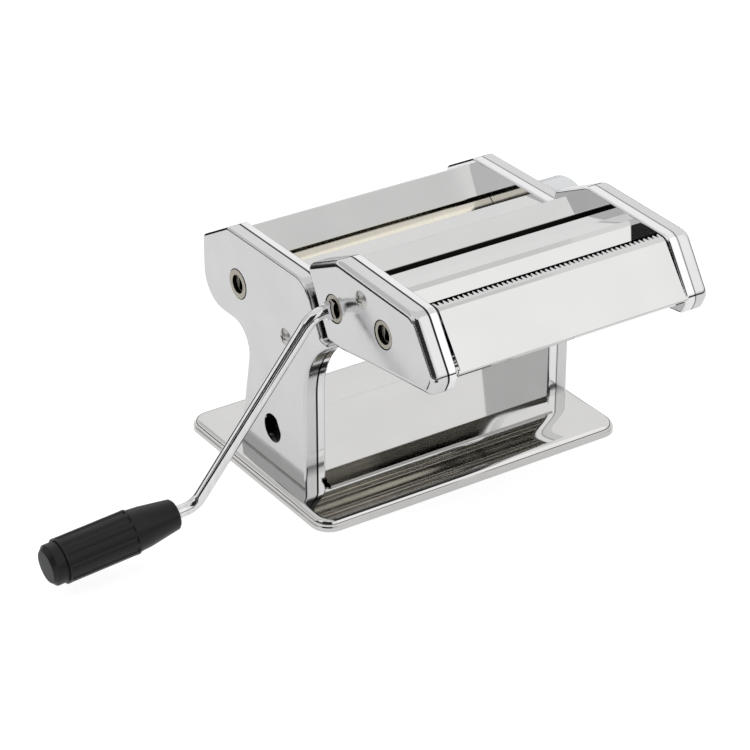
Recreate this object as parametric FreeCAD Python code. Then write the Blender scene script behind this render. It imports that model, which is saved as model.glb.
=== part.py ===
import FreeCAD, Part
import math
import os

os.makedirs("parts", exist_ok=True)
Vec = FreeCAD.Vector
X_AXIS = Vec(1, 0, 0)

# Hand cranked pasta machine, in millimetres.
# X runs along the rollers with the crank on the -X side, -Y is the front, Z is up.
# The origin is on the surface that the machine stands on, under the centre of the base.

# Fits and clearances
PRESSED = 0.03          # a part pressed or screwed on a shaft
RUNNING = 0.05          # a shaft that turns in its bush
SLIDING = 0.3           # loose pieces that pass each other
HOLE_CLEAR = 0.2        # a screw through a plain hole

# Base tray
BASE_END_MARGIN = 11.9  # tray beyond the side covers
BASE_DEPTH = 143.4
BASE_CORNER = 11.0
BASE_HEIGHT = 6.46
BASE_SHEET = 1.0
BASE_LEDGE = 2.4        # height of the lower lip
BASE_LEDGE_INSET = 0.8
BASE_SHOULDER = 3.6     # radius from the rim up to the flat top
BASE_HEM = 5.0          # width of the edge folded in underneath

# Side housings
ROLLER_SPAN = 150.0     # clear width between the inner walls, less the two end gaps
WALL_X = ROLLER_SPAN / 2 - 0.2
FRAME_SHEET = 1.2
FRAME_BEND = 1.4        # outside of the bend round each side frame
FRAME_DEPTH = 5.7       # from the inner wall to the seam
SEAM = 0.3
COVER_DEPTH = 7.6
COVER_SHEET = 1.0
COVER_EDGE = 1.6        # rounded edge of the outer covers
SEAM_X = WALL_X + FRAME_DEPTH
FACE_X = SEAM_X + COVER_DEPTH
BASE_LENGTH = 2 * (FACE_X + BASE_END_MARGIN)

# Outline of the side housings, seen from the side
LEG_FRONT_Y = -36.0
LEG_REAR_Y = 32.0
LEG_REAR_TOP_Y = 17.75
NOSE_DROP = 2.8         # from the shelf down to the tip of the nose
NOSE_RADIUS = 46.0      # hollow curve from the front leg out to the nose
NOSE_TURN = 57.0        # degrees that this curve turns through
NOSE_STRAIGHT = 2.6
NOSE_FACE_ANGLE = 66.0
NOSE_CORNER = 1.7
SHELF_Z = 105.8         # flat step that the cutter stands on
SHELF_REAR_Y = -52.4
BODY_TOP_Z = 133.6
BODY_TOP_REAR_Y = 40.0
BODY_BACK_Y = 67.0
BODY_BACK_TOP_Z = 118.5
BODY_BACK_BOTTOM_Z = 80.0
TOP_FRONT_RADIUS = 16.0
TOP_REAR_RADIUS = 5.0
BACK_TOP_RADIUS = 4.0
BACK_BOTTOM_RADIUS = 19.0
LEG_REAR_RADIUS = 15.0
SHELF_RADIUS = 2.5

# Rollers for the sheet of dough
ROLLER_RADIUS = 13.5
ROLLER_END_GAP = 0.3
AXIS_Z = 103.6
REAR_ROLLER_Y = 29.9
GAP_MIN = 0.5           # thinnest setting
GAP_MAX = 3.0           # thickest setting
JOURNAL_RADIUS = 5.0
SOCKET_RADIUS = 8.3     # hollow end that takes the crank
SOCKET_PROUD = 0.3
MAIN_TEETH = 12
MAIN_TIP = 15.8
MAIN_ROOT_CLEAR = 0.5
MAIN_TIP_HALF = 2.5     # half a tooth in degrees, at its tip
MAIN_ROOT_HALF = 6.5    # and at its root
MAIN_GEAR_OUT = 2.8     # from the inner wall to the gears
MAIN_GEAR_X = WALL_X + MAIN_GEAR_OUT
MAIN_GEAR_WIDTH = 7.0
BUSH_WALL = 2.0
BUSH_FLANGE = 1.2
BUSH_FLANGE_RIM = 2.0

# Thickness adjuster
CAM_RADIUS = 5.0
SHAFT_RADIUS = 3.5
SLEEVE_WALL = 1.95
NECK_WALL = 1.55
SLEEVE_REACH = 14.8     # length of the sleeves inside the roller
SLEEVE_INNER_X = WALL_X - SLEEVE_REACH
SLEEVE_PROUD = 0.5      # right sleeve past the gear
SLEEVE_END_GAP = 0.8    # left sleeve short of the seam
CAM_INSET = 1.0         # cams start this far inside the sleeves
CAM_END_GAP = 1.5       # left cam short of the seam
SETTINGS = 7
SETTING_STEP = 30.0     # degrees between settings
CAM_SLACK = 0.32        # room across the slot in the sleeves for the round path of the cams
ADJUSTER_BUSH_RADIUS = 7.0
ADJUSTER_BUSH_FLANGE = 1.5
ADJUSTER_BUSH_LENGTH = 3.5  # the blind one in the left cover
INDEX_RADIUS = 13.5
INDEX_PLATE_RADIUS = 16.8
INDEX_PLATE_SHEET = 1.6
INDEX_PIN_RADIUS = 1.5
INDEX_PIN_GAP = 0.2
KNOB_RADIUS = 23.0
KNOB_STANDOFF = 3.9     # from the cover to the back of the knob
KNOB_LENGTH = 23.0
KNOB_HOLLOW = 9.0       # depth of the hollow behind the knob
KNOB_WALL = 2.5
KNOB_BACK_X = FACE_X + KNOB_STANDOFF
KNOB_FACE_X = KNOB_BACK_X + KNOB_LENGTH
KNOB_FLOOR_X = KNOB_BACK_X + KNOB_HOLLOW
KNOB_HUB_RADIUS = 9.0
KNOB_EDGE = 3.0
KNOB_PULL = 4.0         # travel of the knob when it is pulled to turn
SPRING_SEAT_IN = 6.0    # from the back of the knob to the spring's seat
SHAFT_IN_KNOB = 15.0
SPRING_SEAT_X = KNOB_BACK_X + SPRING_SEAT_IN
SPRING_POCKET_RADIUS = 6.5
SHAFT_END_X = KNOB_BACK_X + SHAFT_IN_KNOB
SHAFT_FLAT = 2.8        # half width across the flats of the shaft end
SPRING_WIRE = 0.8
KNOB_SCREW_HEAD = 2.4
KNOB_SCREW_CROSS = 1.2  # depth of its cross
KNOB_SCREW_LENGTH = 8.0
PIN_SEAT = 5.0          # depth of the index pin in the knob

# Sheet metal between the side housings
PANEL_SHEET = 0.8
PANEL_BEND = 1.2
STRAIGHT_FOLD = 0.05    # sine of the turn below which a fold gets no round
FLOOR_Z = 12.0
FLOOR_REAR_Y = 29.8
FLOOR_BEND_Y = -32.0
FLOOR_FRONT_Y = -40.5
FLOOR_SHEET = 1.0
THROAT_Z = 118.5        # lower edges of the two hopper panels
THROAT_REAR_Y = 24.0
THROAT_FRONT_Y = 8.5
HOPPER_CREST_Y = 42.0
HOPPER_CREST_Z = 129.5
HOPPER_BACK_Y = 64.8
HOPPER_BACK_TOP_Z = 117.0
HOPPER_BACK_BOTTOM_Z = 96.0
HOPPER_FRONT_CREST_Y = -12.5
HOPPER_FRONT_TOP_Y = -31.0
HOPPER_FRONT_TOP_Z = 132.0
HOPPER_FRONT_FALL = 0.8     # fall of the top band towards the crest
HOPPER_SLANT_TOP = 22.0     # ends of the slanted front face, along the slant
HOPPER_SLANT_BOTTOM = 2.0
HOPPER_LIP = 5.0            # lip over the shelf
HOPPER_LIP_DROP = 1.4
SCRAPER_SHEET = 1.0
SCRAPER_BOTTOM_Z = 80.0
SCRAPER_GAP = 0.35
TIE_ROD_RADIUS = 4.0
FRONT_TIE_Y = -18.1
FRONT_TIE_Z = 92.4
REAR_TIE_Y = 55.0
REAR_TIE_Z = 94.0

# Screws
SCREW_SHANK = 2.0
SCREW_HEAD = 5.0
SCREW_DOME = 2.0
SCREW_GRIP = 12.0       # thread length in the rod
CROSS_WIDTH = 1.1
CROSS_LENGTH = 5.6
CROSS_DEPTH = 1.3
BASE_SCREW_SHANK = 1.5
BASE_SCREW_HEAD = 3.0
BASE_SCREW_HEAD_HEIGHT = 1.8
BASE_SCREW_PROUD = 1.5  # thread that stands above the frame's foot
BASE_SCREW_Y = (-28.0, 22.0)

# Hole in the left side for the rod of a table clamp, round with one flat
CLAMP_AT = (-3.0, 29.7)
CLAMP_RADIUS = 8.4
CLAMP_FLAT = 7.4        # from the middle of the hole to its flat
CLAMP_FLAT_ANGLE = 60.0     # degrees, from straight up towards the front

# Cutter module
CUTTER_INSIDE = 2.6     # the cutter's walls stand this far inside those of the body
CUTTER_WALL_X = WALL_X - CUTTER_INSIDE
CUTTER_SHEET = 1.2
CUTTER_FLANGE_SHEET = 1.0
CUTTER_FRAME_DEPTH = 5.8
CUTTER_COVER_DEPTH = 9.0
CUTTER_EDGE = 4.0
CUTTER_CORNER_SPARE = 0.3   # rear corner radius beyond the rounded edge
CUTTER_BOTTOM_Z = 106.1
CUTTER_REAR_Y = -56.0
CUTTER_REAR_TOP_Y = -36.5
CUTTER_REAR_TOP_Z = 142.8
CUTTER_SEAM_X = CUTTER_WALL_X + CUTTER_FRAME_DEPTH
CUTTER_FACE_X = CUTTER_SEAM_X + CUTTER_COVER_DEPTH
CUTTER_TOP = ((-66.6, 157.2, 12.0), (-134.5, 155.2, 9.0), (-154.0, 126.0, 7.0),
              (-149.5, 116.4, 5.0), (-96.0, 110.0, 20.0), (-69.4, CUTTER_BOTTOM_Z, 10.0))

# Cutting rollers
CUT_RADIUS = 11.2
CUT_BITE = 1.0          # depth that the rings of a pair overlap
CUT_ROOT_CLEAR = 0.3
CUT_SIDE_CLEAR = 0.1
CUT_END_GAP = 0.3
RING_END_ROOM = 0.2     # core left bare at each end of a cutting roller
WIDE_DRIVE = (-63.9, 128.5)
NARROW_DRIVE = (-108.9, 133.3)
WIDE_STRIP = 6.5
NARROW_STRIP = 1.5
CUT_JOURNAL = 4.0
CUT_SOCKET = 7.4
CUT_SOCKET_IN = 0.3
CUT_TEETH = 18
CUT_GEAR_TIP = 11.8
CUT_GEAR_ROOT_CLEAR = 0.35
CUT_TIP_HALF = 2.5
CUT_ROOT_HALF = 5.0
CUT_GEAR_OUT = 5.2      # from the cutter's wall to its gears
CUT_GEAR_X = CUTTER_WALL_X + CUT_GEAR_OUT
CUT_GEAR_WIDTH = 5.6
CUT_JOURNAL_END_X = CUT_GEAR_X + CUT_GEAR_WIDTH
COMB_SHEET = 1.0
COMB_BAR = 4.0          # depth of the plain strip behind the fingers
COMB_REACH = 6.0        # length of the fingers
COMB_TIP_PAST = 0.5     # finger tips past the roller's axis
COMB_SIDE_CLEAR = 0.15  # between a finger and the rings beside it
CUT_TIE_RADIUS = 2.6
CUT_SCREW_AT = (-89.1, 144.4)
CUT_TIES = ((-145.5, 130.5), (-60.5, 110.6))

# Top sheets of the cutter, as folded sections
REAR_SHEET_FOLDS = ((-52.0, 118.5), (-41.6, 137.0), (-50.8, 145.2), (-67.0, 142.8), (-68.8, 139.2))
MIDDLE_SHEET_FOLDS = ((-81.5, 145.5), (-84.6, 149.5), (-94.7, 150.6), (-104.7, 152.2),
                      (-107.3, 150.9), (-113.1, 145.5))
FRONT_SHEET_FOLDS = ((-128.2, 153.6), (-132.5, 153.2), (-134.0, 152.3), (-153.2, 127.1),
                     (-150.6, 124.6))
FRONT_SHEET_END_GAP = 1.2   # its face stops this far short of the frames, its lower lip doesn't
FRONT_SHEET_LIP_TOP = 128.5
SAW_PITCH = 3.0
SAW_DEPTH = 2.9
SAW_MOUTH = 3.0         # width of the shape that cuts one notch, just past the edge
SAW_ROOT = 0.5          # and at the bottom of the notch
SAW_OVERRUN = 0.4
SAW_CUT_HALF = 3.0      # half height of the shape that cuts one notch
SLOT_SHEET_BEND = 0.8   # tighter bends of the middle and front sheets

# Guide rails that hold the cutter on the body
RAIL_BACK = 2.7         # gap between the slanted edges of body and cutter
RAIL_WEB = 1.2
RAIL_LIP = 3.2
RAIL_LIP_SHEET = 1.3
RAIL_BOTTOM = 1.5       # along the slanted edge, from the cutter's lower rear corner
RAIL_TOP = 15.0
RAIL_OUT = 3.3          # from the cutter's wall to the middle of a rail
RAIL_X = CUTTER_WALL_X + RAIL_OUT
GROOVE_RUN_OUT = 8.0    # the groove for a rail is cut this far past the cutter's lower corner
GROOVE_MOUTH = 2.0      # and this far out of its rear edge

# Crank and grip
ROD_RADIUS = 3.5
ELBOW_OUT = 12.8        # from the cutter's cover to the elbow
CRANK_SPREAD = 62.0     # sideways, from the elbow to the knee
CRANK_BACK = 19.0       # the knee hangs this far behind the elbow
CRANK_DROP = 101.7      # and this far below it
CRANK_ELBOW = (-CUTTER_FACE_X - ELBOW_OUT, WIDE_DRIVE[0], WIDE_DRIVE[1])
CRANK_KNEE = (CRANK_ELBOW[0] - CRANK_SPREAD, CRANK_ELBOW[1] + CRANK_BACK, CRANK_ELBOW[2] - CRANK_DROP)
ELBOW_BEND = 11.0
GRIP_TILT = 5.3         # degrees that the grip's axle leans out
TANG_WIDTH = 8.6
TANG_THICKNESS = 4.4
TANG_OUT = 5.3          # part of the flattened end that stays outside the cover
TANG_START_X = -CUTTER_FACE_X - TANG_OUT
TANG_LENGTH = 19.0
TANG_END_ROOM = 2.6     # room past its tip in a socket
SOCKET_DEPTH = TANG_LENGTH - TANG_OUT - CUT_SOCKET_IN + TANG_END_ROOM
SOCKET_MOUTH = 5.3
SOCKET_MOUTH_DEPTH = 2.5
GRIP_START = 12.0       # from the knee to the grip
GRIP_LENGTH = 75.0
GRIP_NECK = 8.4
GRIP_CHAMFER = 1.0
GRIP_SWELL = 18.0       # from here the taper is slight
GRIP_SWELL_RADIUS = 11.0
GRIP_TAPER = 26.0
GRIP_SHOULDER = 11.6
GRIP_BARREL = 12.3
GRIP_BARREL_END = 67.0
GRIP_CAP = 11.15
GRIP_CAP_ROUND = 2.5
GRIP_CAP_DISC = 8.5
GRIP_CAP_SHEET = 1.2
GRIP_FLUTES = 12
FLUTE_RADIUS = 3.0
FLUTE_DEPTH = 0.9
FLUTE_END = 1.2         # plain band at each end of the flutes
AXLE_IN_GRIP = 62.0

# Values that follow from the sizes above
CAM_OFFSET = (GAP_MAX - GAP_MIN) / 2
FRONT_ROLLER_Y = REAR_ROLLER_Y - 2 * ROLLER_RADIUS - GAP_MIN
ADJUSTER_Y = FRONT_ROLLER_Y - CAM_OFFSET
ROLLER_TRAVEL = 2 * CAM_OFFSET
SLOT_HALF_Z = CAM_RADIUS + CAM_OFFSET + RUNNING * 2
SLOT_HALF_Y = CAM_RADIUS + CAM_SLACK
SLEEVE_RADIUS = SLOT_HALF_Z + SLEEVE_WALL
NECK_RADIUS = SLEEVE_RADIUS + RUNNING + NECK_WALL
MAIN_ROOT = 2 * ROLLER_RADIUS + GAP_MIN - MAIN_TIP - MAIN_ROOT_CLEAR
MAIN_GEAR_END_X = MAIN_GEAR_X + MAIN_GEAR_WIDTH
CUT_SPACING = 2 * CUT_RADIUS - CUT_BITE
CUT_CORE = CUT_SPACING - CUT_RADIUS - CUT_ROOT_CLEAR
CUT_GEAR_ROOT = CUT_SPACING - CUT_GEAR_TIP - CUT_GEAR_ROOT_CLEAR
WIDE_IDLE = (WIDE_DRIVE[0] - CUT_SPACING, WIDE_DRIVE[1])
NARROW_IDLE = (NARROW_DRIVE[0] - CUT_SPACING, NARROW_DRIVE[1])
COVER_FLOOR_X = FACE_X - COVER_SHEET
SLANT = Vec(0, CUTTER_REAR_TOP_Y - CUTTER_REAR_Y, CUTTER_REAR_TOP_Z - CUTTER_BOTTOM_Z).normalize()
SLANT_OUT = Vec(0, -SLANT.z, SLANT.y)


def save(name, shapes):
    """Write the separate solids of one piece, or of one group of like pieces."""
    solids = [solid for shape in shapes for solid in shape.Solids]
    if len(solids) == 1:
        solids[0].exportStep("parts/" + name + ".step")
        return
    Part.makeCompound(solids).exportStep("parts/" + name + ".step")


def mirrored(shape):
    """The same piece on the other side of the machine."""
    return shape.mirror(Vec(0, 0, 0), X_AXIS)


def corner(before, at, after, radius):
    """Start, middle and end of the round that joins two straight runs."""
    back = (before - at).normalize()
    ahead = (after - at).normalize()
    half = math.acos(max(-1.0, min(1.0, back.dot(ahead)))) / 2
    inward = (back + ahead).normalize()
    centre = at + inward * (radius / math.sin(half))
    reach = radius / math.tan(half)
    return at + back * reach, centre - inward * radius, at + ahead * reach


def closed_outline(points, x):
    """Closed wire in a side view plane from (y, z, corner radius) points."""
    spots = [Vec(x, p[0], p[1]) for p in points]
    edges = []
    last = None
    first = None
    for i, point in enumerate(points):
        if point[2] > 0:
            start, middle, end = corner(spots[i - 1], spots[i], spots[(i + 1) % len(spots)], point[2])
        else:
            start = middle = end = spots[i]
        if last is None:
            first = start
        elif last.distanceToPoint(start) > 1e-6:
            edges.append(Part.makeLine(last, start))
        if point[2] > 0:
            edges.append(Part.Arc(start, middle, end).toShape())
        last = end
    if last.distanceToPoint(first) > 1e-6:
        edges.append(Part.makeLine(last, first))
    return Part.Wire(edges)


def open_path(spots, radii):
    """Open wire of straight runs joined by round bends."""
    edges = []
    last = spots[0]
    for i in range(1, len(spots) - 1):
        start, middle, end = corner(spots[i - 1], spots[i], spots[i + 1], radii[i - 1])
        edges.append(Part.makeLine(last, start))
        edges.append(Part.Arc(start, middle, end).toShape())
        last = end
    edges.append(Part.makeLine(last, spots[-1]))
    return Part.Wire(edges)


def prism(points, x0, x1):
    """Solid with a side view outline, from x0 to x1."""
    return Part.Face(closed_outline(points, x0)).extrude(Vec(x1 - x0, 0, 0))


def inset_prism(points, inset, x0, x1):
    """The same, drawn in all round by the inset."""
    face = Part.Face(closed_outline(points, x0)).makeOffset2D(-inset)
    return face.extrude(Vec(x1 - x0, 0, 0))


def rod(radius, x0, x1, y, z):
    return Part.makeCylinder(radius, x1 - x0, Vec(x0, y, z), X_AXIS)


def ring(outer, inner, x0, x1, y, z):
    return rod(outer, x0, x1, y, z).cut(rod(inner, x0 - 1, x1 + 1, y, z))


def block(x0, x1, y0, y1, z0, z1):
    return Part.makeBox(x1 - x0, y1 - y0, z1 - z0, Vec(x0, y0, z0))


def folded_sheet(folds, thickness, bend, half_width):
    """Sheet folded along lines parallel to X; its far side is to the left of the folds."""
    near = [Vec(0, p[0], p[1]) for p in folds]
    far = []
    sides = []
    for i, point in enumerate(near):
        ahead = (near[i + 1] - point).normalize() if i + 1 < len(near) else None
        back = (point - near[i - 1]).normalize() if i > 0 else None
        before = back if back is not None else ahead
        after = ahead if ahead is not None else back
        normal_before = Vec(0, -before.z, before.y)
        normal_after = Vec(0, -after.z, after.y)
        middle = (normal_before + normal_after).normalize()
        far.append(point + middle * (thickness / middle.dot(normal_before)))
        sides.append(before.y * after.z - before.z * after.y)
    outline = []
    for point, side in zip(near, sides):
        radius = 0 if side == 0 else (bend + thickness if side < 0 else bend)
        outline.append((point.y, point.z, 0 if abs(side) < STRAIGHT_FOLD else radius))
    for point, side in zip(reversed(far), reversed(sides)):
        radius = bend if side < 0 else bend + thickness
        outline.append((point.y, point.z, 0 if abs(side) < STRAIGHT_FOLD else radius))
    outline[0] = outline[0][:2] + (0,)
    outline[len(near) - 1] = outline[len(near) - 1][:2] + (0,)
    outline[len(near)] = outline[len(near)][:2] + (0,)
    outline[-1] = outline[-1][:2] + (0,)
    return prism(outline, -half_width, half_width)


def gear(teeth, root, tip, root_half, tip_half, x0, x1, at, first_tooth, bore):
    """Spur gear on an X axis, with one tooth at the given angle from +Y."""
    points = []
    for tooth in range(teeth):
        centre = first_tooth + 360.0 * tooth / teeth
        for radius, offset in ((root, -root_half), (tip, -tip_half), (tip, tip_half), (root, root_half)):
            angle = math.radians(centre + offset)
            points.append((at[0] + radius * math.cos(angle), at[1] + radius * math.sin(angle), 0))
    return prism(points, x0, x1).cut(rod(bore, x0 - 1, x1 + 1, at[0], at[1]))


def outer_edges(shape, x):
    """Edges of a prism that lie in its outer face."""
    return [e for e in shape.Edges if abs(e.BoundBox.XMin - x) < 1e-4 and abs(e.BoundBox.XMax - x) < 1e-4]


def cover_shell(points, x0, x1, wall, edge):
    """Deep drawn cover: open at the seam, rounded where its rim meets its face."""
    outer = prism(points, x0, x1)
    outer = outer.makeFillet(edge, outer_edges(outer, x1))
    inner = inset_prism(points, wall, x0, x1 - wall)
    inner = inner.makeFillet(edge - wall, outer_edges(inner, x1 - wall))
    return outer.cut(inner)


def flanged_frame(points, x0, x1, wall, flange):
    """Side plate with its edge turned outwards all round, in a small bend."""
    plate = prism(points, x0, x1)
    plate = plate.makeFillet(FRAME_BEND, outer_edges(plate, x0))
    return plate.cut(inset_prism(points, flange, x0 + wall, x1))


def crosshead_screw(x_seat, x_tip, y, z):
    """Domed screw on a +X face, its shank running inwards."""
    sphere_radius = (SCREW_HEAD ** 2 + SCREW_DOME ** 2) / (2 * SCREW_DOME)
    ball = Part.makeSphere(sphere_radius, Vec(x_seat + SCREW_DOME - sphere_radius, y, z))
    head = ball.common(rod(SCREW_HEAD, x_seat, x_seat + SCREW_DOME, y, z))
    top = x_seat + SCREW_DOME
    for width, height in ((CROSS_WIDTH, CROSS_LENGTH), (CROSS_LENGTH, CROSS_WIDTH)):
        head = head.cut(block(top - CROSS_DEPTH, top + 1, y - width / 2, y + width / 2,
                              z - height / 2, z + height / 2))
    return head.fuse(rod(SCREW_SHANK, x_tip, x_seat, y, z)).removeSplitter()


def on_slant(along, out):
    """Point beside the cutter's slanted rear edge; out is towards the cutter."""
    spot = Vec(0, CUTTER_REAR_Y, CUTTER_BOTTOM_Z) + SLANT * along + SLANT_OUT * out
    return spot.y, spot.z, 0


def body_outline():
    """Side view of the housings: leg, hollow front, nose, shelf, slanted front, top and back."""
    turn = math.radians(NOSE_TURN)
    run = NOSE_RADIUS * math.tan(turn / 2) + NOSE_STRAIGHT
    nose_z = SHELF_Z - NOSE_DROP
    nose_y = LEG_FRONT_Y - run * math.sin(turn)
    knee_z = nose_z - run * math.cos(turn)
    face_y = nose_y + NOSE_DROP / math.tan(math.radians(NOSE_FACE_ANGLE))
    slant_top_y = SHELF_REAR_Y + (BODY_TOP_Z - SHELF_Z) * SLANT.y / SLANT.z
    return [(LEG_FRONT_Y, BASE_HEIGHT, 0),
            (LEG_REAR_Y, BASE_HEIGHT, 0),
            (LEG_REAR_TOP_Y, BODY_BACK_BOTTOM_Z, LEG_REAR_RADIUS),
            (BODY_BACK_Y, BODY_BACK_BOTTOM_Z, BACK_BOTTOM_RADIUS),
            (BODY_BACK_Y, BODY_BACK_TOP_Z, BACK_TOP_RADIUS),
            (BODY_TOP_REAR_Y, BODY_TOP_Z, TOP_REAR_RADIUS),
            (slant_top_y, BODY_TOP_Z, TOP_FRONT_RADIUS),
            (SHELF_REAR_Y, SHELF_Z, SHELF_RADIUS),
            (face_y, SHELF_Z, NOSE_CORNER),
            (nose_y, nose_z, NOSE_CORNER),
            (LEG_FRONT_Y, knee_z, NOSE_RADIUS)]


def cutter_outline():
    """Side view of the cutter, starting with its slanted rear edge."""
    radius = CUTTER_EDGE + CUTTER_CORNER_SPARE
    return [(CUTTER_REAR_Y, CUTTER_BOTTOM_Z, radius),
            (CUTTER_REAR_TOP_Y, CUTTER_REAR_TOP_Z, radius)] + list(CUTTER_TOP)


def rounded_slab(inset, z0, z1, top_round):
    """Flat slab with the base's rounded plan, drawn in by the inset."""
    x = BASE_LENGTH / 2 - inset
    y = BASE_DEPTH / 2 - inset
    slab = Part.makeBox(2 * x, 2 * y, z1 - z0, Vec(-x, -y, z0))
    uprights = [e for e in slab.Edges if e.BoundBox.ZLength > (z1 - z0) / 2]
    slab = slab.makeFillet(BASE_CORNER - inset, uprights)
    if top_round > 0:
        rim = [e for e in slab.Edges if e.BoundBox.ZMin > z1 - 1e-4]
        slab = slab.makeFillet(top_round, rim)
    return slab


def base_screw_places():
    x = WALL_X + FRAME_DEPTH / 2
    return [(side * x, y) for side in (-1, 1) for y in BASE_SCREW_Y]


def base_tray():
    sheet = BASE_SHEET
    skin = rounded_slab(0, 0, BASE_LEDGE, 0)
    skin = skin.fuse(rounded_slab(BASE_LEDGE_INSET, 0, BASE_HEIGHT, BASE_SHOULDER))
    hollow = rounded_slab(sheet, sheet, BASE_LEDGE - sheet, 0)
    hollow = hollow.fuse(rounded_slab(BASE_LEDGE_INSET + sheet, sheet, BASE_HEIGHT - sheet,
                                      BASE_SHOULDER - sheet))
    hollow = hollow.fuse(rounded_slab(sheet + BASE_HEM, 0, BASE_LEDGE, 0))
    tray = skin.cut(hollow)
    for x, y in base_screw_places():
        tray = tray.cut(Part.makeCylinder(BASE_SCREW_SHANK + HOLE_CLEAR, BASE_HEIGHT, Vec(x, y, sheet)))
    return tray.removeSplitter()


def base_screws():
    """Screws from under the base into the bottom flanges of the side frames."""
    top = BASE_HEIGHT + FRAME_SHEET + BASE_SCREW_PROUD
    seat = BASE_HEIGHT - BASE_SHEET
    screws = []
    for x, y in base_screw_places():
        head = Part.makeCylinder(BASE_SCREW_HEAD, BASE_SCREW_HEAD_HEIGHT,
                                 Vec(x, y, seat - BASE_SCREW_HEAD_HEIGHT))
        shank = Part.makeCylinder(BASE_SCREW_SHANK, top - seat, Vec(x, y, seat))
        screws.append(head.fuse(shank).removeSplitter())
    return screws


def floor_plate():
    """Raised floor between the legs, folded down to the base at the front and the back."""
    under = BASE_HEIGHT
    top = FLOOR_Z - FLOOR_SHEET
    return folded_sheet(((FLOOR_REAR_Y - FLOOR_SHEET, under), (FLOOR_REAR_Y - FLOOR_SHEET, top),
                         (FLOOR_BEND_Y, top), (FLOOR_FRONT_Y, under))[::-1],
                        FLOOR_SHEET, PANEL_BEND, WALL_X)


def clamp_hole(x0, x1):
    """Round hole with a flat on its upper front side."""
    y, z = CLAMP_AT
    keep = block(x0, x1, y - CLAMP_RADIUS, y + CLAMP_RADIUS, z - CLAMP_RADIUS, z + CLAMP_FLAT)
    keep.rotate(Vec(0, y, z), X_AXIS, CLAMP_FLAT_ANGLE)
    return rod(CLAMP_RADIUS, x0, x1, y, z).common(keep)


def neck_slot(x0, x1):
    """Slot that the neck of the front roller moves along when the gap is set."""
    radius = NECK_RADIUS + SLIDING + HOLE_CLEAR
    far = FRONT_ROLLER_Y - ROLLER_TRAVEL
    slot = rod(radius, x0, x1, FRONT_ROLLER_Y, AXIS_Z).fuse(rod(radius, x0, x1, far, AXIS_Z))
    return slot.fuse(block(x0, x1, far, FRONT_ROLLER_Y, AXIS_Z - radius, AXIS_Z + radius))


def inner_frame(side):
    """Side frame on the +X side, or on the -X side before it is mirrored."""
    frame = flanged_frame(body_outline(), WALL_X, SEAM_X - SEAM, FRAME_SHEET, FRAME_SHEET)
    bush = (JOURNAL_RADIUS if side > 0 else SOCKET_RADIUS) + RUNNING + BUSH_WALL + PRESSED
    frame = frame.cut(rod(bush, WALL_X - 1, SEAM_X, REAR_ROLLER_Y, AXIS_Z))
    frame = frame.cut(neck_slot(WALL_X - 1, SEAM_X - FRAME_SHEET))
    hole = SCREW_SHANK + HOLE_CLEAR
    frame = frame.cut(rod(hole, WALL_X - 1, SEAM_X, FRONT_TIE_Y, FRONT_TIE_Z))
    frame = frame.cut(rod(hole, WALL_X - 1, SEAM_X, REAR_TIE_Y, REAR_TIE_Z))
    for y in BASE_SCREW_Y:
        frame = frame.cut(Part.makeCylinder(BASE_SCREW_SHANK + PRESSED, FRAME_SHEET + 1,
                                            Vec(WALL_X + FRAME_DEPTH / 2, y, BASE_HEIGHT)))
    if side < 0:
        frame = frame.cut(clamp_hole(WALL_X - 1, SEAM_X))
        return mirrored(frame)
    return frame


def outer_cover(side):
    """Deep drawn cover over one side of the body."""
    cover = cover_shell(body_outline(), SEAM_X, FACE_X, COVER_SHEET, COVER_EDGE)
    cover = cover.cut(rod(SCREW_SHANK + HOLE_CLEAR, SEAM_X, FACE_X + 1, FRONT_TIE_Y, FRONT_TIE_Z))
    if side < 0:
        cover = cover.cut(rod(SOCKET_RADIUS + SLIDING + HOLE_CLEAR, SEAM_X, FACE_X + 1,
                              REAR_ROLLER_Y, AXIS_Z))
        cover = cover.cut(clamp_hole(SEAM_X, FACE_X + 1))
        return mirrored(cover)
    return cover.cut(rod(ADJUSTER_BUSH_RADIUS + PRESSED, SEAM_X, FACE_X + 1, ADJUSTER_Y, AXIS_Z))


def rear_hopper_panel():
    """Slope down to the rollers, crest, slope down behind and apron at the back."""
    return folded_sheet(((THROAT_REAR_Y, THROAT_Z), (HOPPER_CREST_Y, HOPPER_CREST_Z),
                         (HOPPER_BACK_Y, HOPPER_BACK_TOP_Z), (HOPPER_BACK_Y, HOPPER_BACK_BOTTOM_Z))[::-1],
                        PANEL_SHEET, PANEL_BEND, WALL_X)


def front_hopper_panel():
    """Slope up from the rollers, flat top, slanted front face and lip over the shelf."""
    inside = RAIL_BACK + FRAME_SHEET
    upper = on_slant(HOPPER_SLANT_TOP, -inside)
    lower = on_slant(HOPPER_SLANT_BOTTOM, -inside)
    folds = ((THROAT_FRONT_Y, THROAT_Z), (HOPPER_FRONT_CREST_Y, HOPPER_FRONT_TOP_Z - HOPPER_FRONT_FALL),
             (HOPPER_FRONT_TOP_Y, HOPPER_FRONT_TOP_Z), upper[:2], lower[:2],
             (SHELF_REAR_Y - HOPPER_LIP, SHELF_Z - HOPPER_LIP_DROP))
    return folded_sheet(folds, PANEL_SHEET, PANEL_BEND, WALL_X)


def tie_rods():
    """Rods that hold the two side frames apart, tapped at both ends."""
    rods = []
    for y, z in ((FRONT_TIE_Y, FRONT_TIE_Z), (REAR_TIE_Y, REAR_TIE_Z)):
        bar = rod(TIE_ROD_RADIUS, -WALL_X, WALL_X, y, z)
        thread = rod(SCREW_SHANK + PRESSED, WALL_X - SCREW_GRIP - 1, WALL_X + 1, y, z)
        rods.append(bar.cut(thread).cut(mirrored(thread)))
    return rods


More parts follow.
